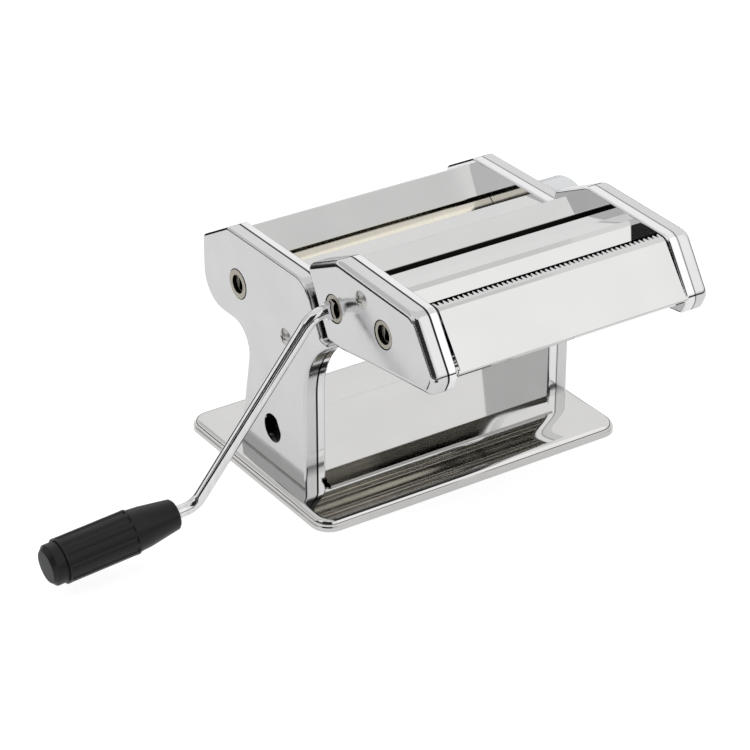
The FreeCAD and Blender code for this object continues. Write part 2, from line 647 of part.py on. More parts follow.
def cover_screws():
    screw = crosshead_screw(FACE_X, WALL_X - SCREW_GRIP, FRONT_TIE_Y, FRONT_TIE_Z)
    return [screw, mirrored(screw)]


def frame_screws():
    screw = crosshead_screw(WALL_X + FRAME_SHEET, WALL_X - SCREW_GRIP, REAR_TIE_Y, REAR_TIE_Z)
    return [screw, mirrored(screw)]


def flanged_bush(inner, x_wall, sheet, y, z):
    """Bush pressed through a side plate, its flange on the outside."""
    outer = inner + BUSH_WALL
    bush = rod(outer, x_wall, x_wall + sheet, y, z)
    flange = rod(outer + BUSH_FLANGE_RIM, x_wall + sheet, x_wall + sheet + BUSH_FLANGE, y, z)
    bore = rod(inner, x_wall - 1, x_wall + sheet + BUSH_FLANGE + 1, y, z)
    return bush.fuse(flange).cut(bore).removeSplitter()


def rear_roller_bushes():
    right = flanged_bush(JOURNAL_RADIUS + RUNNING, WALL_X, FRAME_SHEET, REAR_ROLLER_Y, AXIS_Z)
    left = flanged_bush(SOCKET_RADIUS + RUNNING, WALL_X, FRAME_SHEET, REAR_ROLLER_Y, AXIS_Z)
    return [right, mirrored(left)]


def adjuster_bushes():
    """Plain bearings of the adjuster shaft in the two outer covers."""
    bore = rod(SHAFT_RADIUS + RUNNING, -FACE_X, KNOB_BACK_X, ADJUSTER_Y, AXIS_Z)
    inner_x = COVER_FLOOR_X - ADJUSTER_BUSH_FLANGE
    right = rod(ADJUSTER_BUSH_RADIUS, inner_x, FACE_X + INDEX_PLATE_SHEET, ADJUSTER_Y, AXIS_Z)
    right = right.fuse(rod(ADJUSTER_BUSH_RADIUS + BUSH_FLANGE_RIM, inner_x, COVER_FLOOR_X,
                           ADJUSTER_Y, AXIS_Z))
    left = rod(ADJUSTER_BUSH_RADIUS, -COVER_FLOOR_X, -COVER_FLOOR_X + ADJUSTER_BUSH_LENGTH,
               ADJUSTER_Y, AXIS_Z)
    return [right.cut(bore).removeSplitter(), left.cut(bore)]


def roller_scrapers():
    """Blades under the two rollers that lift the dough off."""
    top = AXIS_Z - ROLLER_RADIUS - SCRAPER_GAP
    half = SCRAPER_SHEET / 2
    front_y = FRONT_ROLLER_Y - CAM_OFFSET
    return [block(-WALL_X, WALL_X, y - half, y + half, SCRAPER_BOTTOM_Z, top)
            for y in (front_y, REAR_ROLLER_Y)]


def index_place(step):
    angle = math.radians(90 + SETTING_STEP * step)
    return ADJUSTER_Y + INDEX_RADIUS * math.cos(angle), AXIS_Z + INDEX_RADIUS * math.sin(angle)


def index_plate():
    """Plate of holes on the right cover, one hole for each thickness."""
    plate = ring(INDEX_PLATE_RADIUS, ADJUSTER_BUSH_RADIUS + PRESSED, FACE_X,
                 FACE_X + INDEX_PLATE_SHEET, ADJUSTER_Y, AXIS_Z)
    for step in range(SETTINGS):
        y, z = index_place(step)
        plate = plate.cut(rod(INDEX_PIN_RADIUS + HOLE_CLEAR, FACE_X, FACE_X + INDEX_PLATE_SHEET, y, z))
    return plate


def cutter_rails():
    """Tee shaped rails on the body's slanted front, which hold the cutter."""
    half = RAIL_WEB / 2
    web_points = [on_slant(RAIL_BOTTOM, -RAIL_BACK), on_slant(RAIL_TOP, -RAIL_BACK),
                  on_slant(RAIL_TOP, CUTTER_FLANGE_SHEET + SLIDING + RAIL_LIP_SHEET),
                  on_slant(RAIL_BOTTOM, CUTTER_FLANGE_SHEET + SLIDING + RAIL_LIP_SHEET)]
    lip_points = [on_slant(RAIL_BOTTOM, CUTTER_FLANGE_SHEET + SLIDING),
                  on_slant(RAIL_TOP, CUTTER_FLANGE_SHEET + SLIDING), web_points[2], web_points[3]]
    web = prism(web_points, RAIL_X - half, RAIL_X + half)
    lip = prism(lip_points, RAIL_X - RAIL_LIP / 2, RAIL_X + RAIL_LIP / 2)
    rail = web.fuse(lip).removeSplitter()
    return [rail, mirrored(rail)]


def crank_slot(x0, x1, y, z, clearance):
    """Flat sided hole, or with no clearance the flattened end of the crank."""
    half_width = TANG_WIDTH / 2 + clearance
    half_thickness = TANG_THICKNESS / 2 + clearance
    return block(x0, x1, y - half_thickness, y + half_thickness, z - half_width, z + half_width)


def drive_socket(radius, x_end, x_body, at):
    """Hollow left end of a driven roller, with a slot for the crank."""
    journal = rod(radius, x_end, x_body, *at)
    journal = journal.cut(rod(SOCKET_MOUTH, x_end - 1, x_end + SOCKET_MOUTH_DEPTH, *at))
    return journal


def socket_slot(x_end, at):
    return crank_slot(x_end - 1, x_end + SOCKET_DEPTH, at[0], at[1], RUNNING * 2)


def rear_roller():
    half = WALL_X - ROLLER_END_GAP
    at = (REAR_ROLLER_Y, AXIS_Z)
    end = -FACE_X - SOCKET_PROUD
    roller = rod(ROLLER_RADIUS, -half, half, *at)
    roller = roller.fuse(rod(JOURNAL_RADIUS, half, MAIN_GEAR_END_X, *at))
    roller = roller.fuse(drive_socket(SOCKET_RADIUS, end, -half, at))
    return roller.cut(socket_slot(end, at)).removeSplitter()


def main_gear(at, first_tooth, bore):
    return gear(MAIN_TEETH, MAIN_ROOT, MAIN_TIP, MAIN_ROOT_HALF, MAIN_TIP_HALF,
                MAIN_GEAR_X, MAIN_GEAR_END_X, at, first_tooth, bore)


def front_roller():
    """Hollow roller with a neck at each end, which turns on the two sleeves."""
    half = WALL_X - ROLLER_END_GAP
    at = (FRONT_ROLLER_Y, AXIS_Z)
    roller = rod(ROLLER_RADIUS, -half, half, *at)
    roller = roller.fuse(rod(NECK_RADIUS, half, MAIN_GEAR_END_X, *at))
    roller = roller.fuse(rod(NECK_RADIUS, -WALL_X - FRAME_DEPTH + FRAME_SHEET, -half, *at))
    return roller.cut(rod(SLEEVE_RADIUS + RUNNING, -FACE_X, FACE_X, *at)).removeSplitter()


def front_roller_bushes():
    """Sleeves that carry the front roller; the cams move them by their slotted bores."""
    sleeves = []
    for x0, x1 in ((SLEEVE_INNER_X, MAIN_GEAR_END_X + SLEEVE_PROUD),
                   (-SEAM_X + SLEEVE_END_GAP, -SLEEVE_INNER_X)):
        sleeve = rod(SLEEVE_RADIUS, x0, x1, FRONT_ROLLER_Y, AXIS_Z)
        slot = block(x0 - 1, x1 + 1, FRONT_ROLLER_Y - SLOT_HALF_Y, FRONT_ROLLER_Y + SLOT_HALF_Y,
                     AXIS_Z - SLOT_HALF_Z, AXIS_Z + SLOT_HALF_Z)
        slot = slot.common(rod(SLEEVE_RADIUS - SLEEVE_WALL, x0 - 1, x1 + 1, FRONT_ROLLER_Y, AXIS_Z))
        sleeves.append(sleeve.cut(slot))
    return sleeves


def flatted_rod(radius, flat, x0, x1):
    shaft = rod(radius, x0, x1, ADJUSTER_Y, AXIS_Z)
    return shaft.common(block(x0, x1, ADJUSTER_Y - flat, ADJUSTER_Y + flat,
                              AXIS_Z - radius, AXIS_Z + radius))


def adjuster_shaft():
    """Shaft through the hollow front roller, with a cam inside each sleeve."""
    shaft = rod(SHAFT_RADIUS, -COVER_FLOOR_X + SLIDING, KNOB_BACK_X, ADJUSTER_Y, AXIS_Z)
    shaft = shaft.fuse(flatted_rod(SHAFT_RADIUS, SHAFT_FLAT, KNOB_BACK_X, SHAFT_END_X))
    cam_x = SLEEVE_INNER_X + CAM_INSET
    for x0, x1 in ((cam_x, MAIN_GEAR_END_X), (-SEAM_X + CAM_END_GAP, -cam_x)):
        shaft = shaft.fuse(rod(CAM_RADIUS, x0, x1, ADJUSTER_Y + CAM_OFFSET, AXIS_Z))
    thread = rod(SCREW_SHANK + PRESSED, SHAFT_END_X - KNOB_SCREW_LENGTH - 1, SHAFT_END_X + 1,
                 ADJUSTER_Y, AXIS_Z)
    return shaft.cut(thread).removeSplitter()


def knob_screw():
    """Screw in the end of the shaft, whose head holds the spring."""
    top = SHAFT_END_X + KNOB_SCREW_HEAD
    head = rod(SPRING_POCKET_RADIUS - SLIDING, SHAFT_END_X, top, ADJUSTER_Y, AXIS_Z)
    for width, height in ((CROSS_WIDTH, CROSS_LENGTH), (CROSS_LENGTH, CROSS_WIDTH)):
        head = head.cut(block(top - KNOB_SCREW_CROSS, top + 1, ADJUSTER_Y - width / 2,
                              ADJUSTER_Y + width / 2, AXIS_Z - height / 2, AXIS_Z + height / 2))
    shank = rod(SCREW_SHANK, SHAFT_END_X - KNOB_SCREW_LENGTH, SHAFT_END_X, ADJUSTER_Y, AXIS_Z)
    return head.fuse(shank).removeSplitter()


def knob_spring():
    """Spring under the screw head, drawn at the length it has when the knob is pulled."""
    start = SPRING_SEAT_X + KNOB_PULL + SLIDING
    inner = SHAFT_RADIUS + SLIDING
    return ring(inner + 2 * SPRING_WIRE, inner, start, SHAFT_END_X, ADJUSTER_Y, AXIS_Z)


def adjuster_knob():
    """Hollow knob on the flats of the shaft, with a pocket for the spring."""
    knob = rod(KNOB_RADIUS, KNOB_BACK_X, KNOB_FACE_X, ADJUSTER_Y, AXIS_Z)
    knob = knob.makeFillet(KNOB_EDGE, outer_edges(knob, KNOB_FACE_X))
    knob = knob.cut(ring(KNOB_RADIUS - KNOB_WALL, KNOB_HUB_RADIUS, KNOB_BACK_X, KNOB_FLOOR_X,
                         ADJUSTER_Y, AXIS_Z))
    knob = knob.cut(rod(SPRING_POCKET_RADIUS, SPRING_SEAT_X, KNOB_FACE_X + 1, ADJUSTER_Y, AXIS_Z))
    knob = knob.cut(flatted_rod(SHAFT_RADIUS + RUNNING, SHAFT_FLAT + RUNNING,
                                KNOB_BACK_X - 1, SPRING_SEAT_X + 1))
    y, z = index_place(0)
    return knob.cut(rod(INDEX_PIN_RADIUS + PRESSED, KNOB_FLOOR_X - 1, KNOB_FLOOR_X + PIN_SEAT, y, z))


def index_pin():
    """Pin in the knob that lines up with one hole of the index plate."""
    y, z = index_place(0)
    return rod(INDEX_PIN_RADIUS, FACE_X + INDEX_PLATE_SHEET + INDEX_PIN_GAP, KNOB_FLOOR_X + PIN_SEAT,
               y, z)


def cutter_places():
    return (WIDE_DRIVE, WIDE_IDLE, NARROW_DRIVE, NARROW_IDLE)


def cut_journal(place, side):
    """Journal radius of a cutting roller; driven rollers have a socket on the -X side."""
    return CUT_SOCKET if side < 0 and place in (WIDE_DRIVE, NARROW_DRIVE) else CUT_JOURNAL


def cutter_frame(side):
    """Side plate of the cutter, grooved at the back for the guide rail."""
    frame = flanged_frame(cutter_outline(), CUTTER_WALL_X, CUTTER_SEAM_X - SEAM,
                          CUTTER_SHEET, CUTTER_FLANGE_SHEET)
    for place in cutter_places():
        hole = cut_journal(place, side) + RUNNING + BUSH_WALL + PRESSED
        frame = frame.cut(rod(hole, CUTTER_WALL_X - 1, CUTTER_WALL_X + CUTTER_SHEET + 1, *place))
    frame = frame.cut(rod(SCREW_SHANK + HOLE_CLEAR, CUTTER_WALL_X - 1, CUTTER_SEAM_X, *CUT_SCREW_AT))
    top = RAIL_TOP + 2 * SLIDING
    web = RAIL_WEB / 2 + SLIDING
    lip = RAIL_LIP / 2 + SLIDING
    inner = CUTTER_FLANGE_SHEET + RAIL_LIP_SHEET + 2 * SLIDING
    end = -GROOVE_RUN_OUT
    web_slot = prism([on_slant(end, -GROOVE_MOUTH), on_slant(top, -GROOVE_MOUTH),
                      on_slant(top, inner), on_slant(end, inner)], RAIL_X - web, RAIL_X + web)
    lip_slot = prism([on_slant(end, CUTTER_FLANGE_SHEET), on_slant(top, CUTTER_FLANGE_SHEET),
                      on_slant(top, inner), on_slant(end, inner)], RAIL_X - lip, RAIL_X + lip)
    frame = frame.cut(web_slot).cut(lip_slot)
    return mirrored(frame) if side < 0 else frame


def cutter_cover(side):
    cover = cover_shell(cutter_outline(), CUTTER_SEAM_X, CUTTER_FACE_X, COVER_SHEET, CUTTER_EDGE)
    cover = cover.cut(rod(SCREW_SHANK + HOLE_CLEAR, CUTTER_SEAM_X, CUTTER_FACE_X + 1, *CUT_SCREW_AT))
    if side > 0:
        return cover
    for place in (WIDE_DRIVE, NARROW_DRIVE):
        cover = cover.cut(rod(CUT_SOCKET + SLIDING * 2, CUTTER_SEAM_X, CUTTER_FACE_X + 1, *place))
    return mirrored(cover)


def cutter_bushes():
    bushes = []
    for place in cutter_places():
        bushes.append(flanged_bush(CUT_JOURNAL + RUNNING, CUTTER_WALL_X, CUTTER_SHEET, *place))
        left = flanged_bush(cut_journal(place, -1) + RUNNING, CUTTER_WALL_X, CUTTER_SHEET, *place)
        bushes.append(mirrored(left))
    return bushes


def cutter_screws():
    screw = crosshead_screw(CUTTER_FACE_X, CUTTER_WALL_X - SCREW_GRIP, *CUT_SCREW_AT)
    return [screw, mirrored(screw)]


def cutter_tie_bars():
    """Rods across the cutter; the upper one takes the cover screws."""
    upper = rod(TIE_ROD_RADIUS, -CUTTER_WALL_X, CUTTER_WALL_X, *CUT_SCREW_AT)
    thread = rod(SCREW_SHANK + PRESSED, CUTTER_WALL_X - SCREW_GRIP - 1, CUTTER_WALL_X + 1, *CUT_SCREW_AT)
    bars = [upper.cut(thread).cut(mirrored(thread))]
    for place in CUT_TIES:
        bars.append(rod(CUT_TIE_RADIUS, -CUTTER_WALL_X, CUTTER_WALL_X, *place))
    return bars


def cutter_rear_sheet():
    return folded_sheet(REAR_SHEET_FOLDS[::-1], PANEL_SHEET, PANEL_BEND, CUTTER_WALL_X)


def cutter_middle_sheet():
    return folded_sheet(MIDDLE_SHEET_FOLDS[::-1], PANEL_SHEET, SLOT_SHEET_BEND, CUTTER_WALL_X)


def saw_notch(x):
    """Wedge that cuts one notch into the front sheet's upper edge."""
    edge_y, edge_z = FRONT_SHEET_FOLDS[0]
    low = edge_z - SAW_CUT_HALF
    rim, root = edge_y + SAW_OVERRUN, edge_y - SAW_DEPTH
    corners = [Vec(x - SAW_MOUTH / 2, rim, low), Vec(x + SAW_MOUTH / 2, rim, low),
               Vec(x + SAW_ROOT / 2, root, low), Vec(x - SAW_ROOT / 2, root, low)]
    outline = Part.makePolygon(corners + corners[:1])
    return Part.Face(outline).extrude(Vec(0, 0, 2 * SAW_CUT_HALF))


def cutter_front_sheet():
    """Front of the cutter, with a saw tooth edge along the narrow slot."""
    sheet = folded_sheet(FRONT_SHEET_FOLDS[::-1], PANEL_SHEET, SLOT_SHEET_BEND, CUTTER_WALL_X)
    fold_y, top = FRONT_SHEET_FOLDS[-2][0] - PANEL_SHEET * 2, FRONT_SHEET_FOLDS[0][1] + PANEL_SHEET * 2
    for x in (-CUTTER_WALL_X, CUTTER_WALL_X - FRONT_SHEET_END_GAP):
        sheet = sheet.cut(block(x, x + FRONT_SHEET_END_GAP, fold_y, FRONT_SHEET_FOLDS[0][0] + 1,
                                FRONT_SHEET_LIP_TOP, top))
    count = int(2 * (CUTTER_WALL_X - FRONT_SHEET_END_GAP) / SAW_PITCH)
    first = -SAW_PITCH * (count - 1) / 2
    return sheet.cut(Part.makeCompound([saw_notch(first + SAW_PITCH * i) for i in range(count)]))


def ring_starts(strip, shift):
    """X positions where the rings of a cutting roller begin."""
    half = CUTTER_WALL_X - CUT_END_GAP
    pitch = 2 * strip
    count = int(2 * half / pitch) + 2
    first = -pitch * (count // 2) + shift
    return [first + pitch * i for i in range(count + 1)]


def cutting_roller(place, strip, shift):
    """Roller with square rings that run between the rings of its partner."""
    half = CUTTER_WALL_X - CUT_END_GAP
    width = strip - CUT_SIDE_CLEAR
    points = [Vec(-half, 0, 0), Vec(-half, 0, CUT_CORE)]
    for start in ring_starts(strip, shift):
        x0 = start + CUT_SIDE_CLEAR / 2
        x1 = x0 + width
        if x0 < -half + RING_END_ROOM or x1 > half - RING_END_ROOM:
            continue
        points += [Vec(x0, 0, CUT_CORE), Vec(x0, 0, CUT_RADIUS), Vec(x1, 0, CUT_RADIUS),
                   Vec(x1, 0, CUT_CORE)]
    points += [Vec(half, 0, CUT_CORE), Vec(half, 0, 0), Vec(-half, 0, 0)]
    body = Part.Face(Part.makePolygon(points)).revolve(Vec(0, 0, 0), X_AXIS, 360)
    body.translate(Vec(0, *place))
    body = body.fuse(rod(CUT_JOURNAL, half, CUT_JOURNAL_END_X, *place))
    if place in (WIDE_DRIVE, NARROW_DRIVE):
        end = -CUTTER_FACE_X + CUT_SOCKET_IN
        body = body.fuse(drive_socket(CUT_SOCKET, end, -half, place))
        return body.cut(socket_slot(end, place)).removeSplitter()
    return body.fuse(rod(CUT_JOURNAL, -CUT_GEAR_X, -half, *place)).removeSplitter()


def cutter_gear(place, first_tooth):
    return gear(CUT_TEETH, CUT_GEAR_ROOT, CUT_GEAR_TIP, CUT_ROOT_HALF, CUT_TIP_HALF,
                CUT_GEAR_X, CUT_GEAR_X + CUT_GEAR_WIDTH, place, first_tooth, CUT_JOURNAL + PRESSED)


def comb(place, strip, shift, towards):
    """Strip of fingers that lie in the grooves under a cutting roller."""
    top = place[1] - CUT_CORE - CUT_ROOT_CLEAR
    root_y = place[0] + towards * (COMB_REACH - COMB_TIP_PAST)
    bar_y = root_y + towards * COMB_BAR
    plate = block(-CUTTER_WALL_X, CUTTER_WALL_X, min(root_y, bar_y), max(root_y, bar_y),
                  top - COMB_SHEET, top)
    tip_y = root_y - towards * COMB_REACH
    half = CUTTER_WALL_X - CUT_END_GAP
    fingers = []
    for start in ring_starts(strip, shift):
        x0 = start + strip + COMB_SIDE_CLEAR
        x1 = start + 2 * strip - COMB_SIDE_CLEAR
        if x0 < -half or x1 > half:
            continue
        fingers.append(block(x0, x1, min(tip_y, root_y), max(tip_y, root_y), top - COMB_SHEET, top))
    return plate.multiFuse(fingers).removeSplitter()


def comb_pair(drive, idle, strip):
    return [comb(drive, strip, 0.0, 1), comb(idle, strip, strip, -1)]


def crank_axis():
    """Elbow and knee of the crank, and the direction of the grip's axle."""
    elbow = Vec(*CRANK_ELBOW)
    knee = Vec(*CRANK_KNEE)
    radial = Vec(0, knee.y - elbow.y, knee.z - elbow.z).normalize()
    tilt = math.radians(GRIP_TILT)
    axle = Vec(-math.cos(tilt), 0, 0) + radial * math.sin(tilt)
    return elbow, knee, axle


def crank_rod():
    """Bent rod: flattened end in the socket, arm, and axle of the grip."""
    elbow, knee, axle = crank_axis()
    start = Vec(TANG_START_X, elbow.y, elbow.z)
    end = knee + axle * (GRIP_START + AXLE_IN_GRIP)
    path = open_path([start, elbow, knee, end], (ELBOW_BEND, ELBOW_BEND))
    profile = Part.Wire([Part.makeCircle(ROD_RADIUS, start, X_AXIS)])
    tube = path.makePipeShell([profile], True, True)
    tang = crank_slot(TANG_START_X, TANG_START_X + TANG_LENGTH, elbow.y, elbow.z, 0)
    return tube.fuse(tang).removeSplitter()


def along_axle(shape):
    """Move a piece that was drawn along +X to the grip's axle."""
    knee, axle = crank_axis()[1:]
    turn = FreeCAD.Rotation(X_AXIS, axle)
    shape.Placement = FreeCAD.Placement(knee + axle * GRIP_START, turn)
    return shape


def handle_grip():
    """Turned grip with a tapered neck and broad flutes along its barrel."""
    outline = [Vec(0, 0, 0), Vec(0, 0, GRIP_NECK - GRIP_CHAMFER), Vec(GRIP_CHAMFER, 0, GRIP_NECK),
               Vec(GRIP_SWELL, 0, GRIP_SWELL_RADIUS),
               Vec(GRIP_TAPER, 0, GRIP_SHOULDER), Vec(GRIP_TAPER, 0, GRIP_BARREL),
               Vec(GRIP_BARREL_END, 0, GRIP_BARREL), Vec(GRIP_BARREL_END, 0, GRIP_CAP),
               Vec(GRIP_LENGTH - GRIP_CAP_ROUND, 0, GRIP_CAP),
               Vec(GRIP_LENGTH, 0, GRIP_CAP - GRIP_CAP_ROUND), Vec(GRIP_LENGTH, 0, 0), Vec(0, 0, 0)]
    grip = Part.Face(Part.makePolygon(outline)).revolve(Vec(0, 0, 0), X_AXIS, 360)
    distance = GRIP_BARREL + FLUTE_RADIUS - FLUTE_DEPTH
    for i in range(GRIP_FLUTES):
        angle = math.radians(360.0 * i / GRIP_FLUTES)
        grip = grip.cut(rod(FLUTE_RADIUS, GRIP_TAPER + FLUTE_END, GRIP_BARREL_END - FLUTE_END,
                            distance * math.cos(angle), distance * math.sin(angle)))
    grip = grip.cut(rod(ROD_RADIUS + RUNNING * 2, -1, AXLE_IN_GRIP + 1, 0, 0))
    grip = grip.cut(rod(GRIP_CAP_DISC + PRESSED, GRIP_LENGTH - GRIP_CAP_SHEET, GRIP_LENGTH + 1, 0, 0))
    return along_axle(grip)


def grip_end_cap():
    return along_axle(rod(GRIP_CAP_DISC, GRIP_LENGTH - GRIP_CAP_SHEET, GRIP_LENGTH, 0, 0))


def build():
    save("base_tray", [base_tray()])
    save("base_screws", base_screws())
    save("floor_plate", [floor_plate()])
    for name, side in (("left", -1), ("right", 1)):
        save(name + "_inner_frame", [inner_frame(side)])
        save(name + "_outer_cover", [outer_cover(side)])
        save("cutter_" + name + "_frame", [cutter_frame(side)])
        save("cutter_" + name + "_cover", [cutter_cover(side)])
    save("rear_hopper_panel", [rear_hopper_panel()])
    save("front_hopper_panel", [front_hopper_panel()])
    save("tie_rods", tie_rods())
    save("cover_screws", cover_screws())
    save("frame_screws", frame_screws())
    save("rear_roller_bushes", rear_roller_bushes())
    save("adjuster_bushes", adjuster_bushes())
    save("roller_scrapers", roller_scrapers())
    save("index_plate", [index_plate()])
    save("cutter_rails", cutter_rails())
    save("rear_roller", [rear_roller()])
    gear_angle = 180.0 + 180.0 / MAIN_TEETH
    save("rear_roller_gear", [main_gear((REAR_ROLLER_Y, AXIS_Z), gear_angle, JOURNAL_RADIUS + PRESSED)])
    save("front_roller", [front_roller()])
    save("front_roller_gear", [main_gear((FRONT_ROLLER_Y, AXIS_Z), 0.0, NECK_RADIUS + PRESSED)])
    save("front_roller_bushes", front_roller_bushes())
    save("adjuster_shaft", [adjuster_shaft()])
    save("knob_screw", [knob_screw()])
    save("knob_spring", [knob_spring()])
    save("adjuster_knob", [adjuster_knob()])
    save("index_pin", [index_pin()])
    save("cutter_bushes", cutter_bushes())
    save("cutter_screws", cutter_screws())
    save("cutter_tie_bars", cutter_tie_bars())
    save("cutter_rear_sheet", [cutter_rear_sheet()])
    save("cutter_middle_sheet", [cutter_middle_sheet()])
    save("cutter_front_sheet", [cutter_front_sheet()])
    mesh_angle = 180.0 / CUT_TEETH
    for name, drive, idle, strip in (("wide", WIDE_DRIVE, WIDE_IDLE, WIDE_STRIP),
                                     ("narrow", NARROW_DRIVE, NARROW_IDLE, NARROW_STRIP)):
        save(name + "_drive_roller", [cutting_roller(drive, strip, 0.0)])
        save(name + "_idle_roller", [cutting_roller(idle, strip, strip)])
        save(name + "_drive_gear", [cutter_gear(drive, 180.0)])
        save(name + "_idle_gear", [cutter_gear(idle, mesh_angle)])
        save(name + "_comb", comb_pair(drive, idle, strip))
    save("crank_rod", [crank_rod()])
    save("handle_grip", [handle_grip()])
    save("grip_end_cap", [grip_end_cap()])


build()
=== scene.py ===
# %% [markdown]
# # A chromed pasta machine
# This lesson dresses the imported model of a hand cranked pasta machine.
# The machine is nearly all metal, so most of the work is in two places:
# what the metal is like, and what there is in the room for it to reflect.
# Every shape but one small spring comes from the frame. Here the machine
# gets its finishes, that spring, a studio and a camera.

# %% Load the frame
import math

import bpy
from mathutils import Matrix, Vector


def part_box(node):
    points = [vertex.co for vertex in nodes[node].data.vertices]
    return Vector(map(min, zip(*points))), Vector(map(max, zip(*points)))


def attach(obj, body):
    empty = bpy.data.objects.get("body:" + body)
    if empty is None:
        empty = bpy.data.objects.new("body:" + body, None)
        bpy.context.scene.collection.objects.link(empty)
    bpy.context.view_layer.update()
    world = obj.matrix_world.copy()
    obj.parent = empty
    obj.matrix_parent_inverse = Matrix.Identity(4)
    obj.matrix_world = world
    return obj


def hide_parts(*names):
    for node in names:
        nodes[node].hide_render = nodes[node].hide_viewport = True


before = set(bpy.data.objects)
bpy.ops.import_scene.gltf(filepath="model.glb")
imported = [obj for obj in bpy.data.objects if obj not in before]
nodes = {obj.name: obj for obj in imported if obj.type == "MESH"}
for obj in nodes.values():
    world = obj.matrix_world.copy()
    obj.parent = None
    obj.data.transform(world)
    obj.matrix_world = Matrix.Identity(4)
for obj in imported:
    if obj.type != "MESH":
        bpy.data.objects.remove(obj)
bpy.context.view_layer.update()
MM = 0.001

# %% [markdown]
# ## The camera
# The photograph was taken with a long lens from the front left and above.
# A pinhole camera was fitted to the straight edges of the machine, which
# gives the lens, the distance and the point it looks at. A camera looks
# along its own -Z axis, so it is turned until that axis runs along the line
# of sight.

# %% Camera
SENSOR_WIDTH = 36.0
LENS = 128.76
AZIMUTH = math.radians(-33.71)
ELEVATION = math.radians(28.785)
DISTANCE = 1.465
NEAREST = 0.05
LOOK_AT = Vector((-0.03176, -0.01893, 0.05268))

towards_camera = Vector((
    math.sin(AZIMUTH) * math.cos(ELEVATION),
    -math.cos(AZIMUTH) * math.cos(ELEVATION),
    math.sin(ELEVATION),
))
lens_data = bpy.data.cameras.new("photo_camera")
lens_data.lens = LENS
lens_data.sensor_width = SENSOR_WIDTH
lens_data.sensor_fit = "HORIZONTAL"
lens_data.clip_start = NEAREST
camera = bpy.data.objects.new("photo_camera", lens_data)
bpy.context.scene.collection.objects.link(camera)
camera.location = LOOK_AT + towards_camera * DISTANCE
camera.rotation_euler = (-towards_camera).to_track_quat("-Z", "Y").to_euler()
bpy.context.scene.camera = camera
print("camera at", [round(v, 4) for v in camera.location])

# %% [markdown]
# ## Helpers for finishes
# Each finish is a small node tree that ends in one Principled shader.
# Writing node links by hand is long, so `add_node` makes a node, sets its
# inputs and returns it. An input may be a value or a socket to link from.

# %% Node helpers
def start_finish(name, colour, metallic, roughness):
    """A material with one Principled shader, and that shader."""
    finish = bpy.data.materials.new(name)
    finish.use_nodes = True
    tree = finish.node_tree
    shader = tree.nodes["Principled BSDF"]
    shader.inputs["Base Color"].default_value = (*colour, 1.0)
    shader.inputs["Metallic"].default_value = metallic
    shader.inputs["Roughness"].default_value = roughness
    finish.diffuse_color = (*colour, 1.0)
    return finish, tree, shader


def add_node(tree, kind, inputs=None, **settings):
    """A node of this kind, with its inputs set or linked."""
    node = tree.nodes.new(kind)
    for key, value in settings.items():
        setattr(node, key, value)
    for key, value in (inputs or {}).items():
        if isinstance(value, bpy.types.NodeSocket):
            tree.links.new(value, node.inputs[key])
        else:
            node.inputs[key].default_value = value
    return node


print("node helpers ready")

# %% [markdown]
# ## Noise that keeps its size
# Waves, smears and grain are all noise, each of its own size. The noise
# could be fitted to each piece, but then a small piece would get small
# grain. Object coordinates are in metres, so a grain of 0.4 mm is 0.4 mm on
# every piece, and it stays on the piece when the piece moves. Noise seldom
# comes near 0 or 1, so `spread` takes the range that it mostly fills.

# %% Noise helpers
NOISE_LOW = 0.3
NOISE_HIGH = 0.7


def stretched_place(tree, stretch):
    """Object coordinates, squeezed so that a pattern runs long one way."""
    place = add_node(tree, "ShaderNodeTexCoord")
    return add_node(tree, "ShaderNodeMapping", {
        "Vector": place.outputs["Object"],
        "Scale": stretch,
    }).outputs["Vector"]


def noise_value(tree, size, stretch=(1, 1, 1), detail=3.0):
    """Soft noise between 0 and 1 whose spots are about `size` metres."""
    return add_node(tree, "ShaderNodeTexNoise", {
        "Vector": stretched_place(tree, stretch),
        "Scale": 1.0 / size,
        "Detail": detail,
    }).outputs["Fac"]


def ramp(tree, value, start, end, low, high, **settings):
    """Runs from low to high while the value runs from start to end."""
    return add_node(tree, "ShaderNodeMapRange", {
        "Value": value,
        "From Min": start,
        "From Max": end,
        "To Min": low,
        "To Max": high,
    }, **settings).outputs["Result"]


def spread(tree, value, low, high):
    """Noise, spread over low to high."""
    return ramp(tree, value, NOISE_LOW, NOISE_HIGH, low, high)


print("noise helpers ready")

# %% [markdown]
# ## Bumps and shades
# Relief as fine as a grain needs no mesh: a Bump node tilts the shading
# instead, and several of them chain through their Normal inputs. A colour
# that wanders between two near shades keeps a wide face from looking like
# flat paint. A Mix node has inputs of the same name for numbers, vectors
# and colours, so the ones for colour are told by their places.

# %% Bump and shade helpers
MIX_FROM, MIX_TO, MIX_RESULT = 6, 7, 2


def add_bumps(tree, shader, *layers):
    """Bumps of (value socket, depth in metres, strength), one on another."""
    normal = None
    for value, depth, strength in layers:
        inputs = {"Height": value, "Distance": depth, "Strength": strength}
        if normal is not None:
            inputs["Normal"] = normal
        normal = add_node(tree, "ShaderNodeBump", inputs).outputs["Normal"]
    tree.links.new(normal, shader.inputs["Normal"])


def tint(tree, shader, factor, dark, pale):
    """The base colour wanders between two near shades."""
    mix = add_node(tree, "ShaderNodeMix", {
        "Factor": factor,
        MIX_FROM: (*dark, 1.0),
        MIX_TO: (*pale, 1.0),
    }, data_type="RGBA")
    tree.links.new(mix.outputs[MIX_RESULT], shader.inputs["Base Color"])


def shade(colour, amount):
    """The colour made darker."""
    return tuple(amount * part for part in colour)


print("bump and shade helpers ready")

